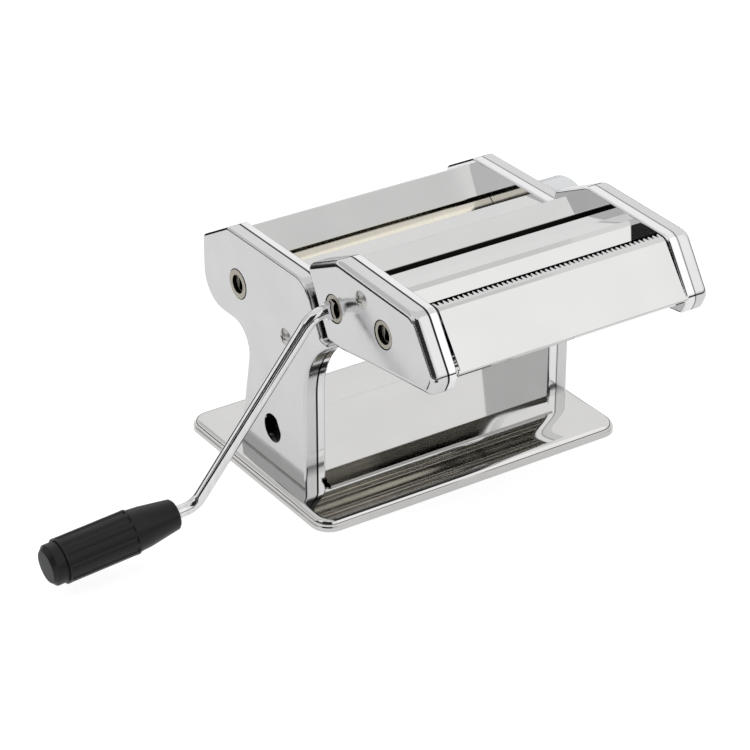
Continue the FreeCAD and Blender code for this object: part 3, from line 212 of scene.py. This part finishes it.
# %% [markdown]
# ## Polished sheet
# The hopper, the cutter's top and front and the flanges are pressed from
# thin sheet, then polished and chromed. Such a surface is a mirror, but it
# is never flat: pressing leaves it gently wavy, so straight reflections
# bend a little. Wiping leaves faint smears, which show as patches that are
# a touch rougher. Both are broad noise, one into the bump and one into the
# roughness. A third noise, very fine and drawn out along X, is the last
# trace of the polishing wheel. The tray and its floor plate go without it.

# %% Polished sheets
CHROME = (0.66, 0.66, 0.655)
TRAY_METAL = (0.66, 0.655, 0.645)
SMEAR_SIZE = 0.018
WAVE_SIZE = 0.045
WAVE_DEPTH = 0.00006
FINE_SIZE = 0.0006
FINE_DEPTH = 0.000003
HAZE_SIZE = 0.03
HAZE_SHADE = 0.96


def polished_sheet(name, colour, rough_low, rough_high, grain=0.10):
    """Mirror metal, gently wavy and faintly smeared."""
    finish, tree, shader = start_finish(name, colour, 1.0, rough_low)
    smears = noise_value(tree, SMEAR_SIZE, (1, 0.5, 1))
    tree.links.new(spread(tree, smears, rough_low, rough_high),
                   shader.inputs["Roughness"])
    waves = noise_value(tree, WAVE_SIZE, detail=1.0)
    fine = noise_value(tree, FINE_SIZE, (0.05, 1, 1), detail=2.0)
    add_bumps(tree, shader, (waves, WAVE_DEPTH, 0.5),
              (fine, FINE_DEPTH, grain))
    haze = noise_value(tree, HAZE_SIZE, detail=2.0)
    tint(tree, shader, spread(tree, haze, 0.0, 1.0),
         shade(colour, HAZE_SHADE), colour)
    return finish


def chromed(name):
    """The sheet of the hopper and of the cutter's top and front."""
    return polished_sheet(name, CHROME, 0.03, 0.07)


chromed_sheet = chromed("chromed_sheet")
floor_steel = polished_sheet("floor_steel", TRAY_METAL, 0.05, 0.10, grain=0.0)
print("polished:", chromed_sheet.name, floor_steel.name)

# %% [markdown]
# ## The tray's dished front
# In front of the floor plate the tray isn't quite level: pressing drew it
# down a little towards its edge. It is hardly a shape, but it bends the
# reflection, and the dark underside of the machine shows there as long
# streaks. A height that falls along Y, fed to one more bump, tilts the
# mirror in the same way.

# %% Dished tray
DISH_START = -0.042
DISH_END = -0.067
DISH_FALL = 0.0034


def coordinate(tree, axis):
    """The object's own X, Y or Z, in metres."""
    place = add_node(tree, "ShaderNodeTexCoord")
    return add_node(tree, "ShaderNodeSeparateXYZ", {
        "Vector": place.outputs["Object"],
    }).outputs[axis]


tray_steel = polished_sheet("tray_steel", TRAY_METAL, 0.04, 0.08, grain=0.0)
tray_tree = tray_steel.node_tree
tray_shader = tray_tree.nodes["Principled BSDF"]
dish = ramp(tray_tree, coordinate(tray_tree, "Y"), DISH_END, DISH_START,
            0.0, 1.0, interpolation_type="SMOOTHSTEP")
tilt = add_node(tray_tree, "ShaderNodeBump", {
    "Height": dish,
    "Distance": DISH_FALL,
    "Strength": 1.0,
    "Normal": tray_shader.inputs["Normal"].links[0].from_socket,
})
tray_tree.links.new(tilt.outputs["Normal"], tray_shader.inputs["Normal"])
print("tray:", tray_steel.name)

# %% [markdown]
# ## The dark line at a seam
# Each side housing is two pressings, a frame and a cover, that meet at a
# seam. The shade that falls into that narrow gap is painted: the edges beside
# it are darkened. The seam lies in a plane of constant X, so the distance to
# that plane is all the pattern needs: within about six tenths of a millimetre
# the metal is mixed towards a dark grey, as painted shade. The right seam
# gets about a third as much as the left one.

# %% Seam line
# Painted shade: the dark grey that darkens the metal beside each seam.
SEAM_SHADE_TONE = (0.035, 0.034, 0.032)
SEAM_SHADE_REACH = 0.00062
SEAM_SHADE_BLUR = 0.2
RIGHT_SEAM_SHADE = 0.35


def maths(tree, operation, *values):
    """One Math node on values or sockets."""
    return add_node(tree, "ShaderNodeMath", dict(enumerate(values)),
                    operation=operation).outputs[0]


def cover_with(tree, shader, factor, tone):
    """Put a tone over whatever colours the finish already has."""
    mix = add_node(tree, "ShaderNodeMix", {
        "Factor": factor,
        MIX_FROM: shader.inputs["Base Color"].links[0].from_socket,
        MIX_TO: (*tone, 1.0),
    }, data_type="RGBA")
    tree.links.new(mix.outputs[MIX_RESULT], shader.inputs["Base Color"])


def darken_seam(tree, shader, seam_x):
    """Painted shade beside the left seam, and less of it beside the right one.
    """
    across = coordinate(tree, "X")
    out = maths(tree, "ABSOLUTE", across)
    away = maths(tree, "ABSOLUTE", maths(tree, "SUBTRACT", out, seam_x))
    near = ramp(tree, away, SEAM_SHADE_REACH * (1 - SEAM_SHADE_BLUR),
                SEAM_SHADE_REACH * (1 + SEAM_SHADE_BLUR), 1.0, 0.0)
    amount = ramp(tree, across, -MM, MM, 1.0, RIGHT_SEAM_SHADE)
    cover_with(tree, shader, maths(tree, "MULTIPLY", near, amount),
               SEAM_SHADE_TONE)


print("seam helpers ready")

# %% [markdown]
# ## Bright flanges
# The frames' flanges are the same polished sheet, but they look paler than
# the sheets between them. More light would pale the whole machine, so the
# brighter light they catch is painted: they get a paler copy of the chrome,
# and the painted seam shade where a cover meets them.

# %% Flanges
# Painted light: a paler copy of the chrome for the brighter light the flanges
# catch.
FLANGE_PAINTED_LIGHT = (0.84, 0.84, 0.845)
BODY_SEAM = 0.08035
CUTTER_SEAM = 0.07785


def flange(name, seam_x):
    finish = polished_sheet(name, FLANGE_PAINTED_LIGHT, 0.04, 0.08)
    tree = finish.node_tree
    darken_seam(tree, tree.nodes["Principled BSDF"], seam_x)
    return finish


body_frame = flange("body_frame", BODY_SEAM)
cutter_frame = flange("cutter_frame", CUTTER_SEAM)
print("flanges:", body_frame.name, cutter_frame.name)

# %% [markdown]
# ## Painted shade in slot lips and sockets
# The lips that are folded down into the slots lie in shade, and so do the
# bores at the ends of the rollers where the crank goes in. That shade is
# painted: a near-black tone, made rough as well. Painting them by hand would
# need a map of the surface, but both are told by one coordinate: a lip by
# how far back it lies, a socket by how far left. The helper mixes in a dark
# tone past a limit along one axis. The lips come here, and the sockets with
# the turned metal.

# %% Painted shade in recesses
# Painted shade: the near-black tone for the lips of the slots and the bores of
# the sockets.
PAINTED_RECESS_SHADE = (0.012, 0.011, 0.010)
DULL_ROUGHNESS = 0.6
SHADE_MASK_BLUR = 0.2 * MM


def tone_past(tree, shader, axis, limit, sign, tone=PAINTED_RECESS_SHADE, ends_stay=False):
    """Another tone, and rough, where sign * (coordinate - limit) is above 0.

    With ends_stay, faces that look along X keep their shine.
    """
    edge = sign * SHADE_MASK_BLUR
    past = ramp(tree, coordinate(tree, axis), limit - edge, limit + edge,
                0.0, 1.0)
    if ends_stay:
        facing = add_node(tree, "ShaderNodeNewGeometry")
        along = add_node(tree, "ShaderNodeSeparateXYZ", {
            "Vector": facing.outputs["Normal"],
        }).outputs["X"]
        across = maths(tree, "SUBTRACT", 1.0, maths(tree, "ABSOLUTE", along))
        past = maths(tree, "MULTIPLY", past, across)
    cover_with(tree, shader, past, tone)
    smooth = shader.inputs["Roughness"].links[0].from_socket
    rough = maths(tree, "MAXIMUM", smooth,
                  maths(tree, "MULTIPLY", past, DULL_ROUGHNESS))
    tree.links.new(rough, shader.inputs["Roughness"])


REAR_LIP = -67.4 * MM
MIDDLE_LIP = -84.2 * MM
rear_deck = chromed("rear_deck")
middle_deck = chromed("middle_deck")
# Painted shade on the folded lips of the slots.
for deck, limit, sign in ((rear_deck, REAR_LIP, -1),
                          (middle_deck, MIDDLE_LIP, 1)):
    deck_tree = deck.node_tree
    tone_past(deck_tree, deck_tree.nodes["Principled BSDF"], "Y", limit, sign)
print("dull lips:", rear_deck.name, middle_deck.name)

# %% [markdown]
# ## Satin covers
# The four deep drawn side covers are softer than the top: a light, even
# grey in which the crank shows only as a blurred streak. That is a rougher
# metal with a very fine upright grain from the polishing belt. The grain is
# noise drawn out along the belt's direction.

# %% Satin covers
COVER_METAL = (0.66, 0.66, 0.665)
BELT_SIZE = 0.0009
BELT_DEPTH = 0.000004
CLOUD_SIZE = 0.02
COVER_WAVE_SIZE = 0.05
COVER_WAVE_DEPTH = 0.00005
COVER_SHADE = 0.95


def satin_cover(name, seam_x):
    """Softer metal with an upright grain, and painted shade along its seam."""
    finish, tree, shader = start_finish(name, COVER_METAL, 1.0, 0.2)
    belt = noise_value(tree, BELT_SIZE, (1, 1, 0.03), detail=4.0)
    clouds = noise_value(tree, CLOUD_SIZE, detail=2.0)
    half = maths(tree, "MULTIPLY", maths(tree, "ADD", belt, clouds), 0.5)
    tree.links.new(spread(tree, half, 0.10, 0.17),
                   shader.inputs["Roughness"])
    waves = noise_value(tree, COVER_WAVE_SIZE, detail=1.0)
    add_bumps(tree, shader, (waves, COVER_WAVE_DEPTH, 0.4),
              (belt, BELT_DEPTH, 0.15))
    tint(tree, shader, spread(tree, clouds, 0.0, 1.0),
         shade(COVER_METAL, COVER_SHADE), COVER_METAL)
    darken_seam(tree, shader, seam_x)
    return finish


body_cover = satin_cover("body_cover", BODY_SEAM)
cutter_cover = satin_cover("cutter_cover", CUTTER_SEAM)
print("satin:", body_cover.name, cutter_cover.name)

# %% [markdown]
# ## Turned and drawn metal
# Rollers, shafts, gears and screws are turned, so their fine lines run
# round the axis, which is the machine's X axis. Squeezing the noise along
# Y and Z leaves bands that change only along X, as a lathe leaves them.
# The smooth rollers are warm and pale. The cutting rollers and the combs are
# nearly black: painted shade for the dark of the slots they sit in. The
# screws are a duller zinc. The crank's rod is chromed: nearly a mirror, with
# the faintest of lines.

# %% Turned metal
STAIN_SIZE = 0.012
RING_SHADE = 0.9


def turned_metal(name, colour, rough_low, rough_high, pitch, depth):
    """Metal with rings `pitch` apart along X and `depth` deep."""
    finish, tree, shader = start_finish(name, colour, 1.0, rough_low)
    rings = noise_value(tree, pitch, (1, 0.02, 0.02))
    stains = noise_value(tree, STAIN_SIZE)
    tree.links.new(spread(tree, stains, rough_low, rough_high),
                   shader.inputs["Roughness"])
    add_bumps(tree, shader, (rings, depth, 0.25))
    tint(tree, shader, spread(tree, rings, 0.0, 1.0),
         shade(colour, RING_SHADE), colour)
    return finish


bright_steel = turned_metal(
    "bright_steel", (0.70, 0.70, 0.69), 0.10, 0.18, 0.0005, 0.000010)
roller_metal = turned_metal(
    "roller_metal", (0.70, 0.66, 0.57), 0.10, 0.18, 0.0004, 0.000006)
# Painted shade: the cutting rollers are made nearly black for the dark of
# their slots.
cutting_shade_metal = turned_metal(
    "cutting_shade_metal", (0.06, 0.06, 0.06), 0.25, 0.38, 0.0004, 0.000012)
gear_steel = turned_metal(
    "gear_steel", (0.45, 0.45, 0.45), 0.28, 0.42, 0.0005, 0.000015)
# Painted shade: the combs are made nearly black for the dark of the slots.
comb_metal = turned_metal(
    "comb_metal", (0.08, 0.08, 0.08), 0.25, 0.38, 0.0006, 0.000012)
zinc_screws = turned_metal(
    "zinc_screws", (0.60, 0.59, 0.56), 0.32, 0.42, 0.0003, 0.000004)
chromed_rod = turned_metal(
    "chromed_rod", (0.78, 0.78, 0.79), 0.03, 0.06, 0.0020, 0.000004)
print("turned metal ready")

# %% [markdown]
# ## The crank's sockets
# At their left ends the rollers stand out past the frame as sockets for the
# crank. A socket is a plain pale rim round a bore darkened with painted
# shade. Both tones start at the same place along X: the rim's tone goes on
# first, and the painted shade goes over it everywhere except on the faces
# that look along X.

# %% Sockets
SOCKET_START = -79.0 * MM
SOCKET_RIM = (0.62, 0.59, 0.52)
for turned in (roller_metal, cutting_shade_metal):
    turned_tree = turned.node_tree
    turned_shader = turned_tree.nodes["Principled BSDF"]
    tone_past(turned_tree, turned_shader, "X", SOCKET_START, -1, SOCKET_RIM)
    # Painted shade for the bore.
    tone_past(turned_tree, turned_shader, "X", SOCKET_START, -1,
              ends_stay=True)
print("sockets:", roller_metal.name, cutting_shade_metal.name)

# %% [markdown]
# ## Moulded plastic
# The bearings are off-white nylon, the knob is a smooth silver grey
# plastic, the grip is black and its end disc dark grey. A moulded part has
# a fine spark-eroded texture, copied from its mould, and gets shinier where
# hands rub it. The texture is fine noise in the bump. One broad noise gives
# the patches that are still matt: there the plastic is rougher and a shade
# paler.

# %% Plastics
MATT_SIZE = 0.014
MATT_LIFT = 0.002


def moulded(name, colour, rough_low, rough_high, grain, depth, gloss=0.5,
            paler=1.12):
    """Plastic with a fine skin, `paler` times as pale where it is matt."""
    finish, tree, shader = start_finish(name, colour, 0.0, rough_low)
    matt = noise_value(tree, MATT_SIZE)
    tree.links.new(spread(tree, matt, rough_low, rough_high),
                   shader.inputs["Roughness"])
    skin = noise_value(tree, grain, detail=4.0)
    add_bumps(tree, shader, (skin, depth, 0.35))
    pale = tuple(min(1.0, part * paler + MATT_LIFT) for part in colour)
    tint(tree, shader, spread(tree, matt, 0.0, 1.0), colour, pale)
    shader.inputs["Specular IOR Level"].default_value = gloss
    return finish


bush_plastic = moulded(
    "bush_plastic", (0.80, 0.79, 0.75), 0.40, 0.55, 0.0005, 0.00001)
silver_knob = moulded(
    "silver_knob", (0.76, 0.78, 0.79), 0.24, 0.30, 0.0004, 0.000006,
    paler=1.02)
black_grip = moulded(
    "black_grip", (0.004, 0.004, 0.004), 0.32, 0.45, 0.0005, 0.00002, 0.3)
grey_cap = moulded(
    "grey_cap", (0.055, 0.057, 0.06), 0.50, 0.65, 0.0004, 0.00002, 0.3)
print("plastics ready")

# %% [markdown]
# ## Give every piece its finish
# The frame already names a material slot on each node. A table from slot to
# finish is enough to dress the whole machine in one loop, and a slot that
# isn't in the table stops the script, so nothing is left plain. A second
# table names the pieces whose finish isn't their slot's usual one, such as
# the frames with their seams.

# %% Dress the frame
FINISHES = {
    "chromed_sheet": chromed_sheet,
    "satin_sheet": body_cover,
    "base_sheet": tray_steel,
    "bright_steel": bright_steel,
    "roller_metal": roller_metal,
    "gear_steel": gear_steel,
    "bush_plastic": bush_plastic,
    "comb_metal": comb_metal,
    "zinc_screws": zinc_screws,
    "chromed_rod": chromed_rod,
    "silver_knob": silver_knob,
    "black_grip": black_grip,
    "grey_cap": grey_cap,
}
OWN_FINISHES = {
    "left_inner_frame": body_frame,
    "right_inner_frame": body_frame,
    "cutter_left_frame": cutter_frame,
    "cutter_right_frame": cutter_frame,
    "floor_plate": floor_steel,
    "cutter_rear_sheet": rear_deck,
    "cutter_middle_sheet": middle_deck,
    "cutter_left_cover": cutter_cover,
    "cutter_right_cover": cutter_cover,
    # The cutting rollers take the near-black metal that paints the shade of
    # their slots.
    "wide_drive_roller": cutting_shade_metal,
    "wide_idle_roller": cutting_shade_metal,
    "narrow_drive_roller": cutting_shade_metal,
    "narrow_idle_roller": cutting_shade_metal,
}
worn_finishes = set()
for name, node in nodes.items():
    for slot in node.material_slots:
        usual = FINISHES[slot.material.name.split(".")[0]]
        slot.material = OWN_FINISHES.get(name, usual)
        worn_finishes.add(slot.material.name)
print("dressed", len(nodes), "nodes in", len(worn_finishes), "finishes")

# %% [markdown]
# ## The knob's spring
# Behind the screw of the adjuster knob sits a small coil spring. In the
# frame it is a plain tube. A wire that follows a helix is a rule, so a
# Geometry Nodes tree draws it: a spiral curve, a round wire swept along it,
# and named inputs for the turns, the radius, the length and the wire.

# %% Spring tree
SPRING_STEPS = 24
WIRE_SIDES = 8


def coil_tree():
    """A helix along Z, as thick as its wire."""
    tree = bpy.data.node_groups.new("coil_spring", "GeometryNodeTree")
    face = tree.interface
    face.new_socket(name="Geometry", in_out="OUTPUT",
                    socket_type="NodeSocketGeometry")
    for label in ("Turns", "Radius", "Length", "Wire"):
        face.new_socket(name=label, in_out="INPUT",
                        socket_type="NodeSocketFloat")
    given = tree.nodes.new("NodeGroupInput").outputs
    helix = add_node(tree, "GeometryNodeCurveSpiral", {
        "Resolution": SPRING_STEPS,
        "Rotations": given["Turns"],
        "Start Radius": given["Radius"],
        "End Radius": given["Radius"],
        "Height": given["Length"],
    })
    wire = add_node(tree, "GeometryNodeCurvePrimitiveCircle",
                    {"Resolution": WIRE_SIDES, "Radius": given["Wire"]})
    swept = add_node(tree, "GeometryNodeCurveToMesh", {
        "Curve": helix.outputs["Curve"],
        "Profile Curve": wire.outputs["Curve"],
        "Fill Caps": True,
    })
    real = add_node(tree, "GeometryNodeRealizeInstances",
                    {"Geometry": swept.outputs["Mesh"]})
    coat = add_node(tree, "GeometryNodeSetMaterial", {
        "Geometry": real.outputs["Geometry"],
        "Material": bright_steel,
    })
    out = tree.nodes.new("NodeGroupOutput")
    tree.links.new(coat.outputs["Geometry"], out.inputs["Geometry"])
    return tree


spring_tree = coil_tree()
print("spring tree:", len(spring_tree.nodes), "nodes")

# %% [markdown]
# ## From nodes to a plain mesh
# Nodes don't survive the export, so the tree's result is baked. The tree is
# hung on an empty object, its inputs are set by their identifiers, and the
# evaluated mesh takes the place of the empty one. The place and the turn go
# into the mesh, so the object itself stays at the origin.

# %% Bake a tree
def baked(name, tree, sizes, place):
    """The tree's result as a plain mesh, placed by the matrix."""
    empty = bpy.data.meshes.new(name)
    carrier = bpy.data.objects.new(name, empty)
    bpy.context.scene.collection.objects.link(carrier)
    modifier = carrier.modifiers.new("shape", "NODES")
    modifier.node_group = tree
    for item in tree.interface.items_tree:
        if item.in_out == "INPUT" and item.name in sizes:
            modifier[item.identifier] = sizes[item.name]
    ready = carrier.evaluated_get(bpy.context.evaluated_depsgraph_get())
    mesh = bpy.data.meshes.new_from_object(ready)
    carrier.modifiers.clear()
    mesh.transform(place)
    carrier.data = mesh
    return carrier


print("baking helper ready")

# %% [markdown]
# ## The spring in its place
# The tube in the frame gives the length and the outside radius. The helix
# runs along Z, so it is turned to lie along X, and it starts one wire
# radius inside the tube's end. It moves with the adjuster and takes the
# tube's place.

# %% Coil spring
WIRE_RADIUS = 0.8 * MM
SPRING_TURNS = 3.5


def make_spring():
    low, high = (Vector(corner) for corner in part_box("knob_spring"))
    middle = (low + high) / 2
    sizes = {
        "Turns": SPRING_TURNS,
        "Radius": (high.y - low.y) / 2 - WIRE_RADIUS,
        "Length": high.x - low.x - 2 * WIRE_RADIUS,
        "Wire": WIRE_RADIUS,
    }
    along_x = Matrix.Rotation(math.radians(90), 4, "Y")
    start = Matrix.Translation((low.x + WIRE_RADIUS, middle.y, middle.z))
    spring = baked("coil_spring", spring_tree, sizes, start @ along_x)
    for face in spring.data.polygons:
        face.use_smooth = True
    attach(spring, "adjuster")
    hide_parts("knob_spring")
    return spring


spring = make_spring()
print("spring:", len(spring.data.polygons), "faces")

# %% [markdown]
# ## The floor
# The photograph has a white sweep with no visible edge. The floor is a
# large pale sheet that takes a soft shadow. It also glows, to metal and a
# little more to the camera, which lifts it to white without putting more
# light on the machine. A Light Path node tells the rays apart.

# %% Floor
FLOOR_HALF = 4.0
FLOOR_COLOUR = (0.45, 0.45, 0.45)
FLOOR_ROUGHNESS = 0.9
FLOOR_GLOW = 0.58
CAMERA_GLOW = 0.22


def seen_directly(tree):
    """1 for camera, glossy and transmission rays, otherwise 0."""
    ray = add_node(tree, "ShaderNodeLightPath").outputs
    seen = maths(tree, "MAXIMUM", ray["Is Camera Ray"], ray["Is Glossy Ray"])
    return maths(tree, "MAXIMUM", seen, ray["Is Transmission Ray"])


def make_floor():
    mesh = bpy.data.meshes.new("floor")
    h = FLOOR_HALF
    mesh.from_pydata([(-h, -h, 0), (h, -h, 0), (h, h, 0), (-h, h, 0)], [],
                     [(0, 1, 2, 3)])
    floor = bpy.data.objects.new("floor", mesh)
    bpy.context.scene.collection.objects.link(floor)
    finish, tree, shader = start_finish(
        "floor_sheet", FLOOR_COLOUR, 0.0, FLOOR_ROUGHNESS)
    ray = add_node(tree, "ShaderNodeLightPath").outputs
    for_all = maths(tree, "MULTIPLY", seen_directly(tree), FLOOR_GLOW)
    for_camera = maths(tree, "MULTIPLY", ray["Is Camera Ray"], CAMERA_GLOW)
    glow = maths(tree, "ADD", for_all, for_camera)
    shader.inputs["Emission Color"].default_value = (1, 1, 1, 1)
    tree.links.new(glow, shader.inputs["Emission Strength"])
    mesh.materials.append(finish)
    return floor


floor = make_floor()
print(floor.name, FLOOR_HALF * 2, "m wide")

# %% [markdown]
# ## The room
# The world does the same as the floor: it is white for camera, mirror and
# glass rays, and gives a plain soft level of light to everything else.

# %% World
SKY_LEVEL = 0.75

world = bpy.data.worlds.new("studio")
bpy.context.scene.world = world
world.use_nodes = True
sky = world.node_tree.nodes["Background"]
sky.inputs["Color"].default_value = (1, 1, 1, 1)
level = ramp(world.node_tree, seen_directly(world.node_tree), 0.0, 1.0,
             SKY_LEVEL, 1.0)
world.node_tree.links.new(level, sky.inputs["Strength"])
print("sky level", SKY_LEVEL)

# %% [markdown]
# ## What a card is
# A mirror in a white room is white. Photographers of silver and chrome
# stand black cards round the piece, so that its curves pick up dark edges
# and read as metal, and grey ones where the white would be too hard. Only
# glossy rays meet the cards here: they can't be seen, and they take no
# light from the machine or the floor.

# %% Card surface
def glossy_only(name, mesh, tone):
    """A piece that only mirror rays meet, evenly lit at this tone."""
    piece = bpy.data.objects.new(name, mesh)
    bpy.context.scene.collection.objects.link(piece)
    finish, _, shader = start_finish(name, (0, 0, 0), 0.0, 1.0)
    shader.inputs["Specular IOR Level"].default_value = 0.0
    shader.inputs["Emission Color"].default_value = (1, 1, 1, 1)
    shader.inputs["Emission Strength"].default_value = tone
    mesh.materials.append(finish)
    piece.visible_camera = False
    piece.visible_diffuse = False
    piece.visible_shadow = False
    piece.visible_transmission = False
    return piece


print("card surface ready")

# %% [markdown]
# ## Cards round the machine
# Flat cards would have to be aimed one by one. These are patches of one
# large sphere, so a card is given by its directions from the machine, in
# degrees: how far round, and how high. The grey card above covers the whole
# zenith and takes the glare off the flat tops.

# %% Cards in the air
CARD_DISTANCE = 1.3
CARD_STEPS = 12
CARDS = {
    "grey_card_behind": ((95, 160), (20, 52), 0.70),
    "black_card_camera": ((-165, -105), (10, 55), 0.03),
    "black_card_left": ((-188, -166), (10, 26), 0.02),
    "black_card_low": ((-175, -60), (0, 9), 0.01),
    "black_card_round": ((-59, 184), (-2, 8), 0.02),
    "grey_card_above": ((0, 360), (56, 90), 0.86),
}


def even_angles(start, end):
    """From start to end in CARD_STEPS steps, in radians."""
    return [math.radians(start + (end - start) * step / CARD_STEPS)
            for step in range(CARD_STEPS + 1)]


def card(name, turn, height, tone):
    """Patch of a sphere between two azimuths and two elevations."""
    mesh = bpy.data.meshes.new(name)
    points = [LOOK_AT + CARD_DISTANCE * Vector((
        math.cos(up) * math.cos(side),
        math.cos(up) * math.sin(side),
        math.sin(up)))
        for up in even_angles(*height) for side in even_angles(*turn)]
    wide = CARD_STEPS + 1
    faces = [(i * wide + j, i * wide + j + 1,
              (i + 1) * wide + j + 1, (i + 1) * wide + j)
             for i in range(CARD_STEPS) for j in range(CARD_STEPS)]
    mesh.from_pydata(points, [], faces)
    return glossy_only(name, mesh, tone)


for name, (turn, height, tone) in CARDS.items():
    card(name, turn, height, tone)
print("cards:", ", ".join(CARDS))

# %% [markdown]
# ## Cards on the floor
# Upright faces mirror the floor too. Two dark fans lie on it, one behind
# on the left and one in front. Each is given by how far round it reaches
# and by its nearest and farthest distance, and lies a millimetre up, clear
# of the floor.

# %% Cards on the floor
FLOOR_CARD_LIFT = MM
FLOOR_CARDS = {
    "black_card_floor": ((80, 165), (0.52, 3.5), 0.01),
    "black_card_front": ((-130, -95), (0.45, 1.25), 0.01),
}


def floor_card(name, turn, reach, tone):
    """Fan on the floor between two azimuths and two distances."""
    mesh = bpy.data.meshes.new(name)
    points = [(far * math.cos(side), far * math.sin(side), FLOOR_CARD_LIFT)
              for side in even_angles(*turn) for far in reach]
    faces = [(2 * j, 2 * j + 1, 2 * j + 3, 2 * j + 2)
             for j in range(CARD_STEPS)]
    mesh.from_pydata(points, [], faces)
    return glossy_only(name, mesh, tone)


for name, (turn, reach, tone) in FLOOR_CARDS.items():
    floor_card(name, turn, reach, tone)
print("floor cards:", ", ".join(FLOOR_CARDS))

# %% [markdown]
# ## Lamps
# Two large soft boxes: a main one high up, a little to the front left, and
# a weaker one at the front right. A lamp's size is what makes its shadows
# soft, and chrome that faces a box shows it as a clean bright field.

# %% Lamps
def soft_box(name, place, size, power):
    """A rectangular lamp that looks at the machine."""
    lamp = bpy.data.lights.new(name, "AREA")
    lamp.shape = "RECTANGLE"
    lamp.size, lamp.size_y = size
    lamp.energy = power
    box = bpy.data.objects.new(name, lamp)
    bpy.context.scene.collection.objects.link(box)
    box.location = place
    aim = LOOK_AT - Vector(place)
    box.rotation_euler = aim.to_track_quat("-Z", "Y").to_euler()
    return box


main_box = soft_box("main_box", (-0.20, -0.50, 1.6), (0.8, 0.8), 3.0)
fill_box = soft_box("fill_box", (0.72, -0.95, 0.95), (1.1, 1.1), 0.9)
print("lamps", main_box.name, fill_box.name)

# %% [markdown]
# ## Colours
# The Standard view shows colours as they are, so a white floor stays white.

# %% Colour settings
bpy.context.scene.view_settings.view_transform = "Standard"
